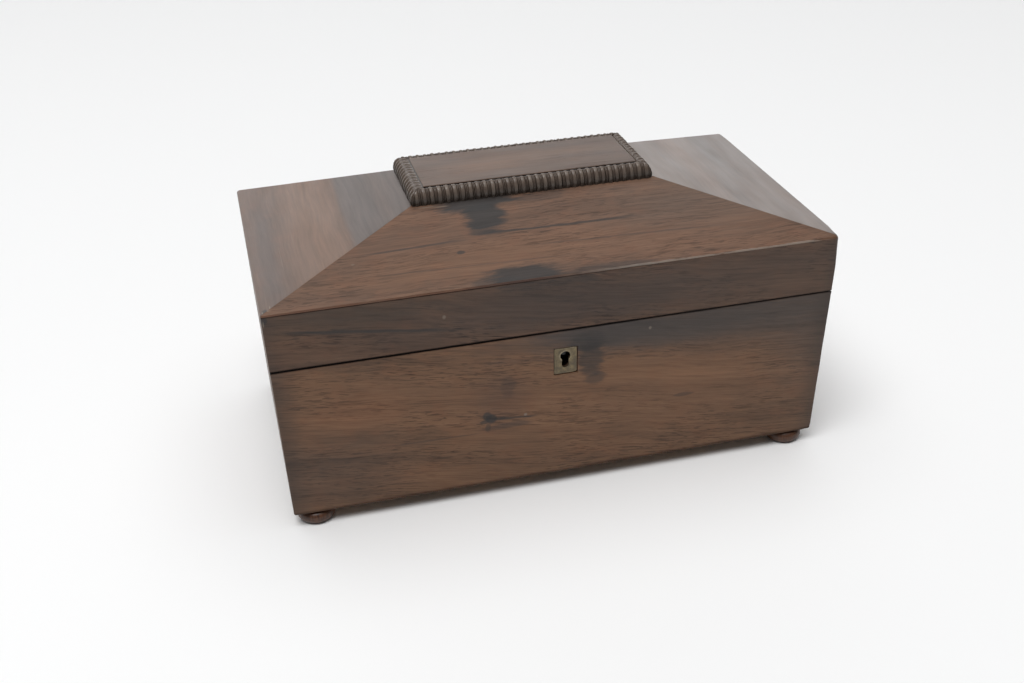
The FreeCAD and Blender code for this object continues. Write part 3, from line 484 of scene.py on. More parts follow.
def pine(name, grain, seed):
    """Old stained softwood under the veneer."""
    g = Graph(name)
    u, v, w = (g.axis[a] for a in grain)
    P = g.vec("ADD", g.xyz(u, v, w), (seed * 0.41, seed * 0.83, seed * 1.07))
    drift = g.math("MULTIPLY", g.math("SUBTRACT", g.noise(g.vec("MULTIPLY", P, (7.0, 14.0, 14.0)), detail=1.0), 0.5), 0.02)
    Q = g.vec("ADD", P, g.xyz(0.0, drift, 0.0))
    ring = g.step(g.noise(g.vec("MULTIPLY", Q, (1.6, 150.0, 60.0)), detail=2.0), 0.35, 0.65)
    fibre = g.noise(g.vec("MULTIPLY", Q, (20.0, 900.0, 900.0)), detail=3.0, rough=0.6)
    grime = g.step(g.noise(g.vec("MULTIPLY", P, (16.0, 22.0, 22.0)), detail=4.0, rough=0.65), 0.35, 0.75)
    c = g.mix(ring, (0.175, 0.096, 0.047), (0.262, 0.152, 0.078))
    c = g.gain(c, g.math("MULTIPLY_ADD", fibre, 0.7, 0.62))
    c = g.mix(g.math("MULTIPLY", grime, 0.55), c, (0.070, 0.044, 0.028))
    g.set(colour=c, rough=g.math("MULTIPLY_ADD", fibre, 0.2, 0.55), spec=0.3)
    g.bump(fibre, 0.25, 0.0002)
    return g.mat


def carved(name, seed, low=(0.014, 0.011, 0.009), high=(0.085, 0.061, 0.047), rub=(0.175, 0.138, 0.110)):
    """Carved rosewood, black in the hollows, darker towards the slope and paler on the crests; the darkening is grime
    with painted shade on the lower half, the pale crests rubbed wear with a painted highlight.
    """
    g = Graph(name)
    P = g.vec("ADD", g.obj, (seed * 0.53, seed * 0.29, seed * 0.91))
    tone = g.noise(P, 210.0, 3.0, 0.6)
    fine = g.noise(P, 1300.0, 2.0, 0.6)
    at = g.node("ShaderNodeAttribute")
    at.attribute_name = "carve"
    cut = g.math("MULTIPLY_ADD", g.math("SUBTRACT", fine, 0.5), 0.25, at.outputs["Fac"])
    c = g.mix(g.step(cut, 0.03, 0.40), low, high)
    # paler crests: rubbed wear, with a painted highlight on the tops of the lobes
    c = g.mix(g.math("MULTIPLY", g.step(cut, 0.80, 1.04), g.step(tone, 0.35, 0.65, 0.15, 0.6)), c, rub)
    # darker towards the slope: grime, with painted shade on the lower half that faces away from the light
    c = g.gain(c, g.step(g.math("MULTIPLY_ADD", tone, 0.0012, g.axis["z"]), 0.1590, 0.1648, 0.42, 1.10))
    c = g.mix(g.math("MULTIPLY", g.step(g.noise(P, 420.0, 3.0, 0.65), 0.60, 0.74), 0.35), c, (0.085, 0.080, 0.066))
    g.set(colour=c, rough=g.math("MULTIPLY_ADD", fine, 0.24, 0.24), spec=0.5)
    g.bump(fine, 0.3, 0.00012)
    return g.mat


def turned(name, seed, low, high, rub):
    """Turned rosewood with streaks and paler rings."""
    g = Graph(name)
    P = g.vec("ADD", g.obj, (seed * 0.53, seed * 0.29, seed * 0.91))
    rings = g.noise(g.vec("MULTIPLY", P, (60.0, 60.0, 1500.0)), 1.0, 2.0)
    streak = g.noise(g.vec("MULTIPLY", P, (900.0, 160.0, 160.0)), 1.0, 3.0, 0.6)
    c = g.mix(g.step(streak, 0.35, 0.65), low, high)
    c = g.mix(g.math("MULTIPLY", g.step(rings, 0.52, 0.72), 0.4), c, rub)
    g.set(colour=c, rough=g.math("MULTIPLY_ADD", streak, 0.25, 0.22), spec=0.45)
    g.bump(rings, 0.2, 0.00015)
    return g.mat


def brass(name, seed, tarnish, bright=(0.42, 0.29, 0.115), dull=(0.120, 0.088, 0.044), dirt=(0.075, 0.058, 0.034), rim=False, keyhole_shade=False):
    """Old brass: brown-green tarnish, rubbed bright in places."""
    g = Graph(name)
    P = g.vec("ADD", g.obj, (seed * 0.31, seed * 0.67, seed * 0.13))
    cloud = g.step(g.noise(P, 260.0, 4.0, 0.62), 0.5 - tarnish * 0.3, 0.86 - tarnish * 0.3)
    fine = g.noise(P, 1700.0, 3.0, 0.6)
    scratch = g.noise(g.vec("MULTIPLY", P, (300.0, 300.0, 5200.0)), 1.0, 2.0)
    c = g.mix(cloud, bright, dull)
    c = g.mix(g.step(fine, 0.54, 0.72, 0.0, 0.6), c, dirt)
    metal = g.math("MULTIPLY_ADD", cloud, -0.45, 0.95)
    du = g.math("SUBTRACT", g.axis["x"], 0.0009)
    dz = g.math("SUBTRACT", g.axis["z"], 0.0843)
    ring = g.math("SQRT", g.math("ADD", g.math("MULTIPLY", du, du), g.math("MULTIPLY", dz, dz)))
    # painted highlight on the left of the keyhole's rim; also paler above 90.5 mm
    if rim:
        m = g.math("MULTIPLY", g.step(g.math("MULTIPLY_ADD", fine, 0.0012, ring), 0.0033, 0.0046, 1.0, 0.0), g.step(g.axis["x"], -0.002, 0.003, 0.75, 0.3))
        c = g.mix(m, c, (0.34, 0.285, 0.19))
        c = g.mix(g.step(g.math("MULTIPLY_ADD", fine, 0.004, g.axis["z"]), 0.0905, 0.0920, 0.0, 0.5), c, (0.36, 0.30, 0.19))
    # painted shade: the lock's brass round the keyhole is painted black and not metal, as seen through the keyhole
    if keyhole_shade:
        m = g.step(ring, 0.008, 0.014, 1.0, 0.0)
        c = g.mix(m, c, SHADE_BLACK)
        metal = g.math("MULTIPLY", metal, g.math("SUBTRACT", 1.0, m))
    g.set(colour=c, metal=metal, rough=g.math("MULTIPLY_ADD", g.math("ADD", fine, scratch), 0.14, 0.24))
    g.bump(g.math("ADD", fine, g.math("MULTIPLY", scratch, 0.6)), 0.18, 0.0001)
    return g.mat


def iron(name, seed):
    g = Graph(name)
    P = g.vec("ADD", g.obj, (seed * 0.31, seed * 0.67, seed * 0.13))
    rust = g.step(g.noise(P, 420.0, 4.0, 0.65), 0.48, 0.72)
    fine = g.noise(P, 2600.0, 3.0, 0.6)
    c = g.mix(rust, (0.115, 0.108, 0.102), (0.085, 0.042, 0.022))
    g.set(colour=c, metal=g.math("MULTIPLY_ADD", rust, -0.7, 0.9), rough=g.math("MULTIPLY_ADD", rust, 0.3, g.math("MULTIPLY_ADD", fine, 0.2, 0.26)))
    g.bump(g.math("ADD", fine, rust), 0.25, 0.0001)
    return g.mat


def velvet(name):
    g = Graph(name)
    nap = g.noise(g.vec("MULTIPLY", g.obj, (2600.0, 2600.0, 2600.0)), 1.0, 2.0)
    crush = g.step(g.noise(g.obj, 38.0, 4.0, 0.6), 0.34, 0.68)
    fade = g.step(g.noise(g.obj, 9.0, 2.0), 0.3, 0.7)
    c = g.mix(crush, (0.070, 0.007, 0.012), (0.150, 0.017, 0.024))
    c = g.mix(g.math("MULTIPLY", fade, 0.35), c, (0.165, 0.040, 0.036))
    c = g.gain(c, g.math("MULTIPLY_ADD", nap, 0.9, 0.55))
    g.set(colour=c, rough=0.92, spec=0.15, sheen=0.7, sheen_rough=0.45, sheen_tint=(0.85, 0.42, 0.40))
    g.bump(nap, 0.45, 0.0002)
    return g.mat


def foil(name):
    g = Graph(name)
    crease = g.noise(g.obj, 170.0, 5.0, 0.7, 0.8)
    dull = g.step(g.noise(g.obj, 60.0, 3.0), 0.35, 0.7)
    c = g.mix(dull, (0.26, 0.265, 0.27), (0.12, 0.122, 0.125))
    g.set(colour=c, metal=0.9, rough=g.math("MULTIPLY_ADD", dull, 0.25, 0.34))
    g.bump(crease, 0.8, 0.0009)
    return g.mat


def glass(name):
    g = Graph(name)
    smear = g.noise(g.obj, 120.0, 3.0)
    g.set(colour=(0.90, 0.94, 0.925), rough=g.math("MULTIPLY_ADD", smear, 0.05, 0.0), ior=1.52, trans=1.0)
    g.bump(g.noise(g.obj, 55.0, 1.0), 0.03, 0.001)
    return g.mat


pine_x, pine_y = pine("carcase_x", "xzy", 1.0), pine("carcase_y", "yzx", 2.0)
carved_mat, feet_mat = carved("carved_rosewood", 1.0), turned("turned_rosewood_feet", 2.0, (0.042, 0.018, 0.010), (0.098, 0.041, 0.021), (0.135, 0.062, 0.033))
turned_mat = turned("turned_rosewood_knobs", 3.0, (0.050, 0.026, 0.017), (0.100, 0.048, 0.028), (0.140, 0.075, 0.045))
# the escutcheon's brass gets a painted highlight by the keyhole; the lock's brass is painted black round the keyhole as
# shade
brass_esc, brass_hinge, brass_lock = brass("brass_escutcheon", 1.0, 0.80, (0.215, 0.170, 0.100), (0.100, 0.078, 0.050), (0.052, 0.043, 0.030), rim=True), brass("brass_hinge", 2.0, 0.35), brass("brass_lock", 3.0, 0.3, keyhole_shade=True)
iron_mat, velvet_mat, foil_mat, glass_mat = iron("iron_screws", 1.0), velvet("velvet_lining"), foil("lead_foil_lining"), glass("bowl_glass_clear")

# ------------------------------------------------------------------ CAD nodes that stay
LOOK = {
    "carcase_front": wood_wall_x, "carcase_back": wood_wall_x, "carcase_left": wood_wall, "carcase_right": wood_wall, "bottom_board": pine_x,
    "lid_rail_front": wood_wall_x, "lid_rail_back": wood_wall_x, "lid_rail_left": wood_wall, "lid_rail_right": wood_wall,
    "lid_roof_front": pine_x, "lid_roof_back": pine_x, "lid_roof_left": pine_y, "lid_roof_right": pine_y,
    "partition_left": wood_inside_y, "partition_right": wood_inside_y, "well_deck": wood_inside_x,
    "canister_left_box": wood_inside_y, "canister_right_box": wood_inside_y, "canister_left_lid": wood_inside_y, "canister_right_lid": wood_inside_y,
    "canister_left_knob": turned_mat, "canister_right_knob": turned_mat, "bun_feet": feet_mat,
    "canister_left_foil": foil_mat, "canister_right_foil": foil_mat,
    "canister_left_pivot_pins": brass_hinge, "canister_right_pivot_pins": brass_hinge,
    "lock_plate": brass_lock, "lock_cap": brass_lock, "link_plate": brass_lock, "lock_bolt": iron_mat, "lock_spring": iron_mat, "lock_screws": iron_mat,
    "link_plate_screws": iron_mat, "hinge_box_leaves": brass_hinge, "hinge_lid_leaves": brass_hinge, "hinge_pins": brass_hinge,
    "hinge_box_screws": iron_mat, "hinge_lid_screws": iron_mat, "mixing_bowl": glass_mat,
}
for n, m in LOOK.items():
    o = NODE[n]
    o.data.materials.clear()
    o.data.materials.append(m)


def stand_for(ob, body, slot, *nodes):
    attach(ob, body)
    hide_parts(*nodes)
    return ob


# ------------------------------------------------------------------ veneers with worn arrises
def box_wear(V):
    out = []
    for p in V:
        r = 0.55 + 0.30 * wob(p, 14.0, 1.0) + 0.15 * wob(p, 4.0, 2.0)
        if p[2] > 98.0:
            r = 0.30 + 0.14 * wob(p, 9.0, 3.0)
        if p[2] < 11.0 and abs(p[0]) > 147 and abs(p[1]) > 75:
            r += 0.5
        out.append(max(0.14, r))
    return np.array(out)


def lid_wear(V):
    out = []
    for p in V:
        r = 0.55 + 0.28 * wob(p, 13.0, 4.0) + 0.14 * wob(p, 3.5, 5.0)
        if p[2] > 130.0:
            t = min(1.0, max(0.0, (p[2] - Z_EAVE) / 3.0))
            right_side = min(1.0, max(0.0, (p[0] + 20.0) / 140.0))
            r = (0.24 + 0.30 * right_side + 0.14 * wob(p, 11.0, 6.0)) * (1 - t) + (1.5 + 0.6 * wob(p, 18.0, 7.0)) * t
        if p[2] < 102.5:
            r = 0.30 + 0.14 * wob(p, 9.0, 8.0)
        d = math.dist(p, (EX, -EY, Z_EAVE))
        r = max(r, 3.1 * max(0.0, 1.0 - d / 15.0) ** 0.5 if d < 15.0 else 0.0)
        for cx, cy, k in ((-EX, -EY, 0.9), (-EX, EY, 1.6), (EX, EY, 2.0)):
            d = math.dist(p, (cx, cy, Z_EAVE))
            if d < 10.0:
                r = max(r, k * (1.0 - d / 10.0) ** 0.5)
        out.append(max(0.14, r))
    return np.array(out)


def esc_hole(c):
    return -5.55 < c[0] < 7.85 and 73.05 < c[2] < 89.6


def hinge_gap(c):
    return 63.6 < abs(c[0]) < 106.4 and 97.63 < c[2] < 103.07


def quad(outer, sides):
    b, r, t, l = sides
    return [meet(outer, b, l), meet(outer, b, r), meet(outer, t, r), meet(outer, t, l)]


def board(name, node, body, outer, inner, sides, sides_in, solid, wear, mat, **kw):
    ob = panel(name, quad(outer, sides), quad(inner, sides_in), solid, wear, mat, **kw)
    return stand_for(ob, body, "rosewood_veneer", node)


bot, rim, lrim = above(Z_BODY), below(Z_BOX1), above(Z_LID0)
wf = 2 * (EX - RX * (Z_EAVE - (Z_BODY + Z_BOX1) / 2))
hf = (Z_BOX1 - Z_BODY) * math.sqrt(1 + RY * RY)
kz = math.sqrt(1 + RY * RY)
s = (bot, right(), rim, left())
board("box_veneer_front", "veneer_front", "box", front(), front(VEN), s, s, BOX_SOLID, box_wear, wood_box_front, skip=esc_hole,
      xu=(wf / 2 - 5.55, wf / 2 + 7.85), xv=((73.05 - Z_BODY) * kz, (89.6 - Z_BODY) * kz))
board("box_veneer_back", "veneer_back", "box", back(), back(VEN), s, s, BOX_SOLID, box_wear, wood_box_back, skip=hinge_gap,
      xu=(wf / 2 - 106.4, wf / 2 - 63.6, wf / 2 + 63.6, wf / 2 + 106.4), xv=((97.63 - Z_BODY) * kz,))
s = (bot, back(VEN), rim, front(VEN))
board("box_veneer_left", "veneer_left", "box", left(), left(VEN), s, s, BOX_SOLID, box_wear, wood_end)
board("box_veneer_right", "veneer_right", "box", right(), right(VEN), s, s, BOX_SOLID, box_wear, wood_end)

wl = 2 * (EX - RX * (Z_EAVE - (Z_LID0 + Z_EAVE) / 2))
s = (lrim, right(), roof_f(VEN), left())
board("lid_veneer_front", "lid_rail_veneer_front", "lid", front(), front(VEN), s, s, LID_SOLID, lid_wear, wood_lid_front)
s = (lrim, right(), roof_b(VEN), left())
board("lid_veneer_back", "lid_rail_veneer_back", "lid", back(), back(VEN), s, s, LID_SOLID, lid_wear, wood_lid_back, skip=hinge_gap,
      xu=(wl / 2 - 106.4, wl / 2 - 63.6, wl / 2 + 63.6, wl / 2 + 106.4), xv=((103.07 - Z_LID0) * kz,))
s = (lrim, back(VEN), roof_l(VEN), front(VEN))
board("lid_veneer_left", "lid_rail_veneer_left", "lid", left(), left(VEN), s, s, LID_SOLID, lid_wear, wood_end)
s = (lrim, back(VEN), roof_r(VEN), front(VEN))
board("lid_veneer_right", "lid_rail_veneer_right", "lid", right(), right(VEN), s, s, LID_SOLID, lid_wear, wood_end)

ty0, ty1 = plane(0, 1, 0, -TY), plane(0, -1, 0, -TY)
tx0, tx1 = plane(1, 0, 0, -TX), plane(-1, 0, 0, -TX)
s = (front(), hip(1, -1), ty0, hip(-1, -1))
board("roof_veneer_front", "lid_roof_veneer_front", "lid", roof_f(), roof_f(VEN), s, s, LID_SOLID, lid_wear, wood_roof_front)
s = (back(), hip(1, 1), ty1, hip(-1, 1))
board("roof_veneer_back", "lid_roof_veneer_back", "lid", roof_b(), roof_b(VEN), s, s, LID_SOLID, lid_wear, wood_roof_back)
s = (left(), hip(-1, 1), tx0, hip(-1, -1))
board("roof_veneer_left", "lid_roof_veneer_left", "lid", roof_l(), roof_l(VEN), s, s, LID_SOLID, lid_wear, wood_roof_left)
s = (right(), hip(1, 1), tx1, hip(1, -1))
board("roof_veneer_right", "lid_roof_veneer_right", "lid", roof_r(), roof_r(VEN), s, s, LID_SOLID, lid_wear, wood_roof_right)

# raised tablet
TAB = [plane(1, 0, 0, TX), plane(-1, 0, 0, TX), plane(0, 1, 0, TY), plane(0, -1, 0, TY), below(Z_TAB), above(Z_CEIL)]
c4 = [(-TX, -TY), (TX, -TY), (TX, TY), (-TX, TY)]
ob = panel("tablet", [(x, y, Z_TAB) for x, y in c4], [(x, y, Z_CEIL) for x, y in c4], TAB,
           lambda V: np.array([max(0.15, 0.42 + 0.2 * wob(p, 9.0, 9.0)) for p in V]), wood_tablet, layers=(0.012, 0.03, 0.06, 0.5))
stand_for(ob, "lid", "rosewood_veneer", "lid_tablet")


# ------------------------------------------------------------------ carved gadroon moulding
def smooth_line(pts, n):
    """Points along a smooth line through the given ones."""
    pts = [np.array(p, float) for p in pts]
    q = [2 * pts[0] - pts[1]] + pts + [2 * pts[-1] - pts[-2]]
    out = []
    for i in range(1, len(q) - 2):
        for k in range(n):
            t = k / n
            out.append(0.5 * (2 * q[i] + (q[i + 1] - q[i - 1]) * t + (2 * q[i - 1] - 5 * q[i] + 4 * q[i + 1] - q[i + 2]) * t * t
                              + (3 * q[i] - q[i - 1] - 3 * q[i + 1] + q[i + 2]) * t ** 3))
    return out + [pts[-1]]


# across the moulding, from the tablet outwards: distance out, height, share of the full carving depth
SECTION = [(0.84, 164.10, 0.25), (1.10, 164.90, 0.6), (1.65, 165.52, 0.9), (2.55, 165.80, 1.0), (3.55, 165.64, 1.0), (4.50, 165.06, 1.0), (5.40, 164.02, 1.0),
           (6.12, 162.62, 1.0), (6.62, 161.00, 1.0), (6.85, 159.50, 1.0), (6.74, 158.30, 0.9)]


def gadroon(name, node, half, slope, count, place, seed, ends, groove=0.30, inner=None, hump=3.4, depth=1.22):
    """ends: how much wider the mouldings at this one's two ends are; inner: height of the edge against the tablet."""
    rnd = random.Random(seed)
    low = 163.3 if inner is None else inner
    line = smooth_line([(0.0, low, 0.0), (groove, low, 0.0)] + [(d if d > 2.0 else 2.0 - (2.0 - d) * (2.0 - groove) / 1.28, max(z, low + 0.1) if inner is not None and d < 2.6 else z, k if inner is None else k * min(1.0, d / 2.5)) for d, z, k in SECTION], 3)
    line.append(np.array((6.45, Z_HIP - slope * 6.45, 0.75)))
    D = np.array([q[0] for q in line])
    Z = np.array([q[1] for q in line])
    cutk = np.clip([q[2] for q in line], 0, 1)
    td, tz = np.gradient(D), np.gradient(Z)
    tl = np.hypot(td, tz)
    nd, nz = -tz / tl, td / tl
    foot = [(3.2, Z_HIP - slope * 3.2), (0.0, Z_HIP)]
    # a broad round lobe, then two narrow reeds
    total = 2 * (half + MW * max(ends))
    pitch = 2 * half / count
    marks, pos = [], -total / 2 - 2.0
    while pos < total / 2 + 2.0:
        w = pitch * (1 + 0.06 * rnd.uniform(-1, 1))
        cuts = [0.0, 0.66 + 0.03 * rnd.uniform(-1, 1), 0.83 + 0.02 * rnd.uniform(-1, 1), 1.0]
        for k in range(3):
            top = (1.0 if k == 0 else 0.80) + 0.07 * rnd.uniform(-1, 1)
            marks.append((pos + cuts[k] * w, pos + cuts[k + 1] * w, top, 0.30 + rnd.uniform(-0.15, 0.15), k == 0))
        pos += w
    cols = []
    for s0, s1, top, lean, big in marks:
        m = 12 if big else 6
        for q in range(m):
            t = 0.5 - 0.5 * math.cos(math.pi * q / m)
            x = 2 * t - 1
            cols.append((s0 + (s1 - s0) * t, top * max(0.0, 1 - abs(x) ** hump) ** 0.5, lean))
    cols.append((marks[-1][1], 0.0, 0.0))
    S = np.array([c[0] for c in cols])
    H = np.array([c[1] for c in cols])
    rows = len(line) + len(foot)
    verts, marks_at = [], []
    for s0, h0, lean in cols:
        for k in range(len(line)):
            d, z = D[k], Z[k]
            sway = lean * (d - 3.4) / 3.4
            wide = ends[0] if s0 + sway < 0 else ends[1]
            lim = half + wide * d
            outside = abs(s0 + sway) >= lim
            sr = min(max(s0 + sway, -lim), lim)
            h = float(np.interp(sr - sway, S, H))
            e = min((lim - abs(sr)) / 1.2, 1.0)
            h *= math.sqrt(max(0.0, 1 - (1 - e) ** 2))
            h += 0.05 * wob((sr, d * 2, z), 1.6, seed) * cutk[k]
            deep = depth * cutk[k] * (1 - h)
            dd = min(max(d - deep * nd[k], 0.0), MW + 0.1)
            zz = max(z - deep * nz[k], Z_HIP - slope * dd)
            lim = half + wide * dd
            sr = math.copysign(lim, sr) if outside else min(max(sr, -lim), lim)
            verts.append(place(sr, dd, zz))
            marks_at.append(min(max(h, 0.0), 1.0) if d > groove + 0.1 else 0.0)
        for d, z in foot:
            lim = half + (ends[0] if s0 < 0 else ends[1]) * d
            verts.append(place(min(max(s0, -lim), lim), d, z))
            marks_at.append(0.0)
    faces = []
    n = len(cols)
    for c in range(n - 1):
        for r in range(rows):
            i, j = c * rows + r, c * rows + (r + 1) % rows
            faces.append([i, j, j + rows, i + rows])
    faces.append([r for r in range(rows)][::-1])
    faces.append([(n - 1) * rows + r for r in range(rows)])
    ob = as_object(name, verts, faces, carved_mat, smooth=58.0, marks=marks_at)
    return stand_for(ob, "lid", "carved_rosewood", node)


WL, WR = 1.26, 1.13
gadroon("gadroon_carved_front", "gadroon_front", TX, SY, 29, lambda s, d, z: (s, -TY - d, z), 11, (WL, WR), groove=0.75)
gadroon("gadroon_carved_back", "gadroon_back", TX, SY, 29, lambda s, d, z: (-s, TY + d, z), 12, (WR, WL), hump=2.3, depth=1.35)
gadroon("gadroon_carved_left", "gadroon_left", TY, SX * WL, 11, lambda s, d, z: (-TX - WL * d, -s, z), 13, (1.0, 1.0), inner=165.2, hump=2.5, depth=1.5)
gadroon("gadroon_carved_right", "gadroon_right", TY, SX * WR, 11, lambda s, d, z: (TX + WR * d, s, z), 14, (1.0, 1.0), hump=2.5, depth=1.4)


# ------------------------------------------------------------------ escutcheon
def keyhole_plate():
    cx, cz, hw, hh = 1.0, 81.45, 6.36, 7.96
    kx, kz, kr, w0, w1, drop = 0.9, 84.3, 2.8, 1.7, 1.95, 7.1
    corner = {(1, 1): 0.7, (-1, 1): 0.5, (-1, -1): 0.6, (1, -1): 1.5}
    outline = []
    for sx, sz in ((1, -1), (1, 1), (-1, 1), (-1, -1)):
        r = corner[sx, sz]
        a = {(1, -1): -90, (1, 1): 0, (-1, 1): 90, (-1, -1): 180}[sx, sz]
        for k in range(7):
            t = math.radians(a + 15 * k)
            outline.append((cx + sx * (hw - r) + r * math.cos(t), cz + sz * (hh - r) + r * math.sin(t)))
    dense = []
    for i, p in enumerate(outline):
        q = outline[(i + 1) % len(outline)]
        m = max(1, int(math.dist(p, q) / 0.9))
        dense += [(p[0] + (q[0] - p[0]) * k / m, p[1] + (q[1] - p[1]) * k / m) for k in range(m)]
    outline = []
    for x, z in dense:
        k = 0.10 * wob((x, z, 0.0), 3.0, 41) - 0.10
        dx, dz = (x - cx) / hw, (z - cz) / hh
        outline.append((x + k * dx, z + k * dz))
    zb = kz - drop + w1
    a0 = math.degrees(math.atan2(-2.142, 1.804))
    hole = []
    for k in range(33):
        t = math.radians(a0 + (180 - 2 * a0) * k / 32)
        r = kr + 0.09 * wob((math.cos(t) * 2, math.sin(t) * 2, 0.0), 1.5, 42)
        hole.append((kx + r * math.cos(t), kz + r * math.sin(t)))
    for k in range(17):
        t = math.radians(180 + 180 * k / 16)
        hole.append((kx + w1 * math.cos(t), zb + w1 * math.sin(t)))
    cu = bpy.data.curves.new("keyhole_plate", "CURVE")
    cu.dimensions, cu.fill_mode = "2D", "BOTH"
    cu.extrude, cu.bevel_depth, cu.bevel_resolution, cu.offset = 0.57 * MM, 0.14 * MM, 3, -0.14 * MM
    for pts in (outline, hole):
        sp = cu.splines.new("POLY")
        sp.points.add(len(pts) - 1)
        for q, (x, z) in zip(sp.points, pts):
            q.co = (x * MM, z * MM, 0.0, 1.0)
        sp.use_cyclic_u = True
    tmp = bpy.data.objects.new("keyhole_plate_line", cu)
    scene.collection.objects.link(tmp)
    me = bpy.data.meshes.new_from_object(tmp)
    n, d = front(0.79)
    V = []
    for v in me.vertices:
        x, z, t = v.co[0] / MM, v.co[1] / MM, v.co[2] / MM
        y = (d - n[2] * z) / n[1]
        dome = 0.05 * wob((x, z, 0.0), 4.0, 43) if t > 0.2 else 0.0
        V.append(np.array((x, y, z)) + n * (t + dome))
    F = [list(f.vertices) for f in me.polygons]
    bpy.data.objects.remove(tmp)
    bpy.data.meshes.remove(me)
    bpy.data.curves.remove(cu)
    stand_for(as_object("escutcheon_worn", V, F, brass_esc, smooth=30.0), "box", "old_brass", "escutcheon")


keyhole_plate()


# ------------------------------------------------------------------ velvet pads in the lid
def pad(name, corners, normal, thick, seed, nu=40, nv=22):
    """Crowned pad on a flat back: corners on the board, thickness along the inward normal."""
    c = np.array(corners, float)
    n = np.array(normal, float)
    us = np.linspace(0, 1, nu)
    vs = np.linspace(0, 1, nv)
    lu = (np.linalg.norm(c[1] - c[0]) + np.linalg.norm(c[2] - c[3])) / 2
    lv = (np.linalg.norm(c[3] - c[0]) + np.linalg.norm(c[2] - c[1])) / 2
    us = 0.5 - 0.5 * np.cos(np.pi * us) * (1 - 0.12 * np.sin(np.pi * us))
    us[0], us[-1] = 0, 1
    top, low = [], []
    for u in us:
        for v in vs:
            p = c[0] * (1 - u) * (1 - v) + c[1] * u * (1 - v) + c[2] * u * v + c[3] * (1 - u) * v
            e = min(u * lu, (1 - u) * lu, v * lv, (1 - v) * lv)
            t = min(1.0, e / 9.0)
            h = thick * (0.30 + 0.70 * math.sqrt(max(0.0, 1 - (1 - t) ** 2)))
            h += (0.10 * wob(p, 22.0, seed) + 0.16 * (1 - t) * wob(p, 5.0, seed + 1)) * (0.4 + 0.6 * t)
            top.append(p + n * max(0.5, min(h, thick)))
            low.append(p + n * 0.02)
    V = top + low
    off = nu * nv
    idx = lambda i, j: i * nv + j
    F = []
    for i in range(nu - 1):
        for j in range(nv - 1):
            q = [idx(i, j), idx(i + 1, j), idx(i + 1, j + 1), idx(i, j + 1)]
            F.append(q)
            F.append([k + off for k in reversed(q)])
    rim_loop = [idx(i, 0) for i in range(nu)] + [idx(nu - 1, j) for j in range(1, nv)] + [idx(i, nv - 1) for i in range(nu - 2, -1, -1)] + [idx(0, j) for j in range(nv - 2, 0, -1)]
    for k in range(len(rim_loop)):
        a, b = rim_loop[k], rim_loop[(k + 1) % len(rim_loop)]
        F.append([b, a, a + off, b + off])
    ob = as_object(name, V, F, velvet_mat, smooth=70.0)
    stand_for(ob, "lid", "velvet", "lid_lining")
    return ob


GAP = 0.25
U = UNDER
ceil = below(Z_CEIL)


def inset_quad(p, edges):
    """Corners of the patch on plane p between four edge planes."""
    b, r, t, l = edges
    return [meet(p, b, l), meet(p, b, r), meet(p, t, r), meet(p, t, l)]


def off(p, t):
    return p[0], p[1] - t


def ridge(a, b):
    """Plane through the meeting line of two roof undersides, halving the angle between them; keeps a's side."""
    n = b[0] - a[0]
    s = np.linalg.norm(n)
    return n / s, (b[1] - a[1]) / s


rf, rb, rl, rr = roof_f(U), roof_b(U), roof_l(U), roof_r(U)
wall_f, wall_b = plane(0, -1, 0, INY), plane(0, 1, 0, INY)
wall_l, wall_r = plane(-1, 0, 0, INX), plane(1, 0, 0, INX)
pad("lining_front", inset_quad(rf, (off(wall_f, GAP), off(ridge(rf, rr), GAP), off(ridge(rf, ceil), GAP), off(ridge(rf, rl), GAP))), -rf[0], LINING, 21)
pad("lining_back", inset_quad(rb, (off(wall_b, GAP), off(ridge(rb, rr), GAP), off(ridge(rb, ceil), GAP), off(ridge(rb, rl), GAP))), -rb[0], LINING, 22)
pad("lining_top", inset_quad(ceil, (off(ridge(ceil, rf), GAP), off(ridge(ceil, rr), GAP), off(ridge(ceil, rb), GAP), off(ridge(ceil, rl), GAP))), -ceil[0], LINING, 23)
pad("lining_left", inset_quad(rl, (off(wall_l, GAP), off(ridge(rl, rf), GAP), off(ridge(rl, ceil), GAP), off(ridge(rl, rb), GAP))), -rl[0], LINING, 24)
pad("lining_right", inset_quad(rr, (off(wall_r, GAP), off(ridge(rr, rf), GAP), off(ridge(rr, ceil), GAP), off(ridge(rr, rb), GAP))), -rr[0], LINING, 25)


# ------------------------------------------------------------------ velvet collar round the bowl
def collar():
    prof = [(46.25, 86.6), (46.2, 88.5), (46.18, 90.6), (46.22, 92.0), (46.4, 92.6), (46.8, 92.85), (47.15, 92.7), (47.35, 92.2), (47.38, 89.0), (47.38, 86.6)]
    m = 144
    V, F = [], []
    for i in range(m):
        a = 2 * math.pi * i / m
        for k, (r, z) in enumerate(prof):
            p = (r * math.cos(a), r * math.sin(a), z)
            dz = 0.10 * wob(p, 4.0, 31) if 3 <= k <= 6 else 0.0
            dr = 0.05 * wob(p, 5.0, 32) if k <= 4 else 0.0
            V.append(((r + dr) * math.cos(a), (r + dr) * math.sin(a), z + dz))
    n = len(prof)
    for i in range(m):
        for k in range(n):
            a, b = i * n + k, i * n + (k + 1) % n
            j = ((i + 1) % m) * n
            F.append([a, b, j + (k + 1) % n, j + k])
    ob = as_object("collar_velvet", V, F, velvet_mat, smooth=60.0)
    stand_for(ob, "box", "velvet", "well_collar")


collar()

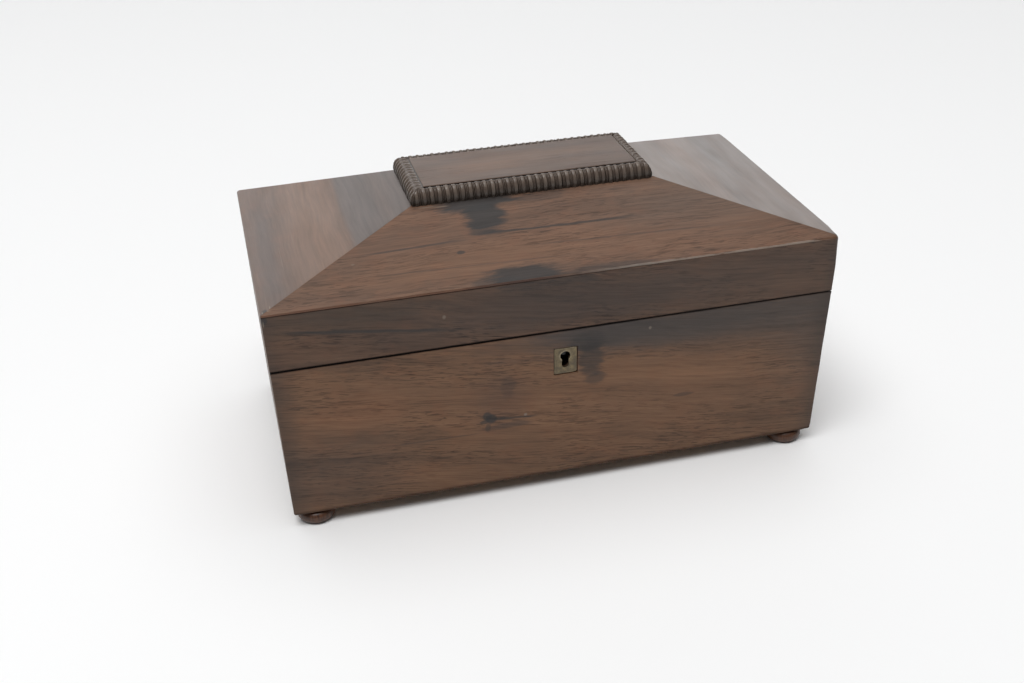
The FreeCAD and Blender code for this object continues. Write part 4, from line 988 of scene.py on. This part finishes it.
# ------------------------------------------------------------------ floor, light, camera
g = Graph("floor_white")
grey_veil = g.noise(g.obj, 3.0, 2.0)
g.set(colour=g.mix(g.math("MULTIPLY", grey_veil, 0.04), (0.90, 0.90, 0.90), (0.86, 0.86, 0.86)), rough=0.7, spec=0.2)
me = bpy.data.meshes.new("floor")
me.from_pydata([(-9, -9, 0), (9, -9, 0), (9, 9, 0), (-9, 9, 0)], [], [(0, 1, 2, 3)])
me.materials.append(g.mat)
floor = bpy.data.objects.new("floor", me)
scene.collection.objects.link(floor)

# studio: a bright strip low down behind, a wide box overhead, little from the other sides
BASE, STRIP, OVERHEAD = 0.10, 1.714, 1.584
world = bpy.data.worlds.new("studio")
scene.world = world
world.use_nodes = True
wt = world.node_tree
bg = wt.nodes["Background"]
w_tc, w_sep, w_col = (wt.nodes.new(k) for k in ("ShaderNodeTexCoord", "ShaderNodeSeparateXYZ", "ShaderNodeCombineXYZ"))
wt.links.new(w_tc.outputs["Generated"], w_sep.inputs[0])


def w_math(op, *args):
    n = wt.nodes.new("ShaderNodeMath")
    n.operation = op
    for socket, v in zip(n.inputs, args):
        if isinstance(v, bpy.types.NodeSocket):
            wt.links.new(v, socket)
        else:
            socket.default_value = v
    return n.outputs[0]


def w_ramp(v, lo_, hi_, v0, v1):
    n = wt.nodes.new("ShaderNodeMapRange")
    n.interpolation_type = "SMOOTHSTEP"
    wt.links.new(v, n.inputs[0])
    for i, k in enumerate((lo_, hi_, v0, v1)):
        n.inputs[i + 1].default_value = k
    return n.outputs[0]


wx, wy, wz = w_sep.outputs
flat = w_math("SQRT", w_math("ADD", w_math("MULTIPLY_ADD", wx, wx, 1e-6), w_math("MULTIPLY", wy, wy)))
behind = w_math("MAXIMUM", w_math("DIVIDE", wy, flat), 0.0)
strip = w_math("MULTIPLY", w_math("MULTIPLY", behind, behind), w_ramp(wz, 0.30, 0.50, STRIP, 0.0))
sides = w_math("MULTIPLY", w_math("ADD", strip, BASE), w_ramp(wz, 0.74, 0.88, 1.0, 0.0))
level = w_math("ADD", sides, w_ramp(wz, 0.74, 0.88, 0.0, OVERHEAD))
# a pale line all round where the floor ends
level = w_math("ADD", level, w_ramp(w_math("ABSOLUTE", wz), 0.03, 0.10, 0.45, 0.0))
for socket, tint in zip(w_col.inputs, (1.0, 1.004, 1.008)):
    wt.links.new(w_math("MULTIPLY", level, tint), socket)
wt.links.new(w_col.outputs[0], bg.inputs[0])
bg.inputs[1].default_value = 1.0


def area(name, loc, target, size, power, colour=(1, 1, 1)):
    d = bpy.data.lights.new(name, "AREA")
    d.shape, d.size, d.size_y = "RECTANGLE", size[0], size[1]
    d.energy, d.color = power, colour
    o = bpy.data.objects.new(name, d)
    scene.collection.objects.link(o)
    o.location = loc
    o.rotation_mode = "QUATERNION"
    o.rotation_quaternion = (Vector(target) - Vector(loc)).to_track_quat("-Z", "Y")
    return o


area("key", (-0.9, -1.15, 3.3), (0.0, 0.05, 0.08), (2.0, 1.6), 61.6)

cam = bpy.data.cameras.new("camera")
cam.sensor_fit, cam.sensor_width, cam.lens = "HORIZONTAL", 36.0, 45.149
cam.clip_start, cam.clip_end = 0.01, 100.0
co = bpy.data.objects.new("camera", cam)
scene.collection.objects.link(co)
R, Up, Fw = Vector((0.96786, -0.25028, -0.02471)), Vector((0.14333, 0.46816, 0.87195)), Vector((0.20666, 0.84746, -0.48898))
m = Matrix.Identity(4)
for i in range(3):
    m[i][0], m[i][1], m[i][2] = R[i], Up[i], -Fw[i]
m[0][3], m[1][3], m[2][3] = -0.16716, -0.65149, 0.42670
co.matrix_world = m
scene.camera = co
scene.view_settings.view_transform = "Standard"
scene.view_settings.look = "None"
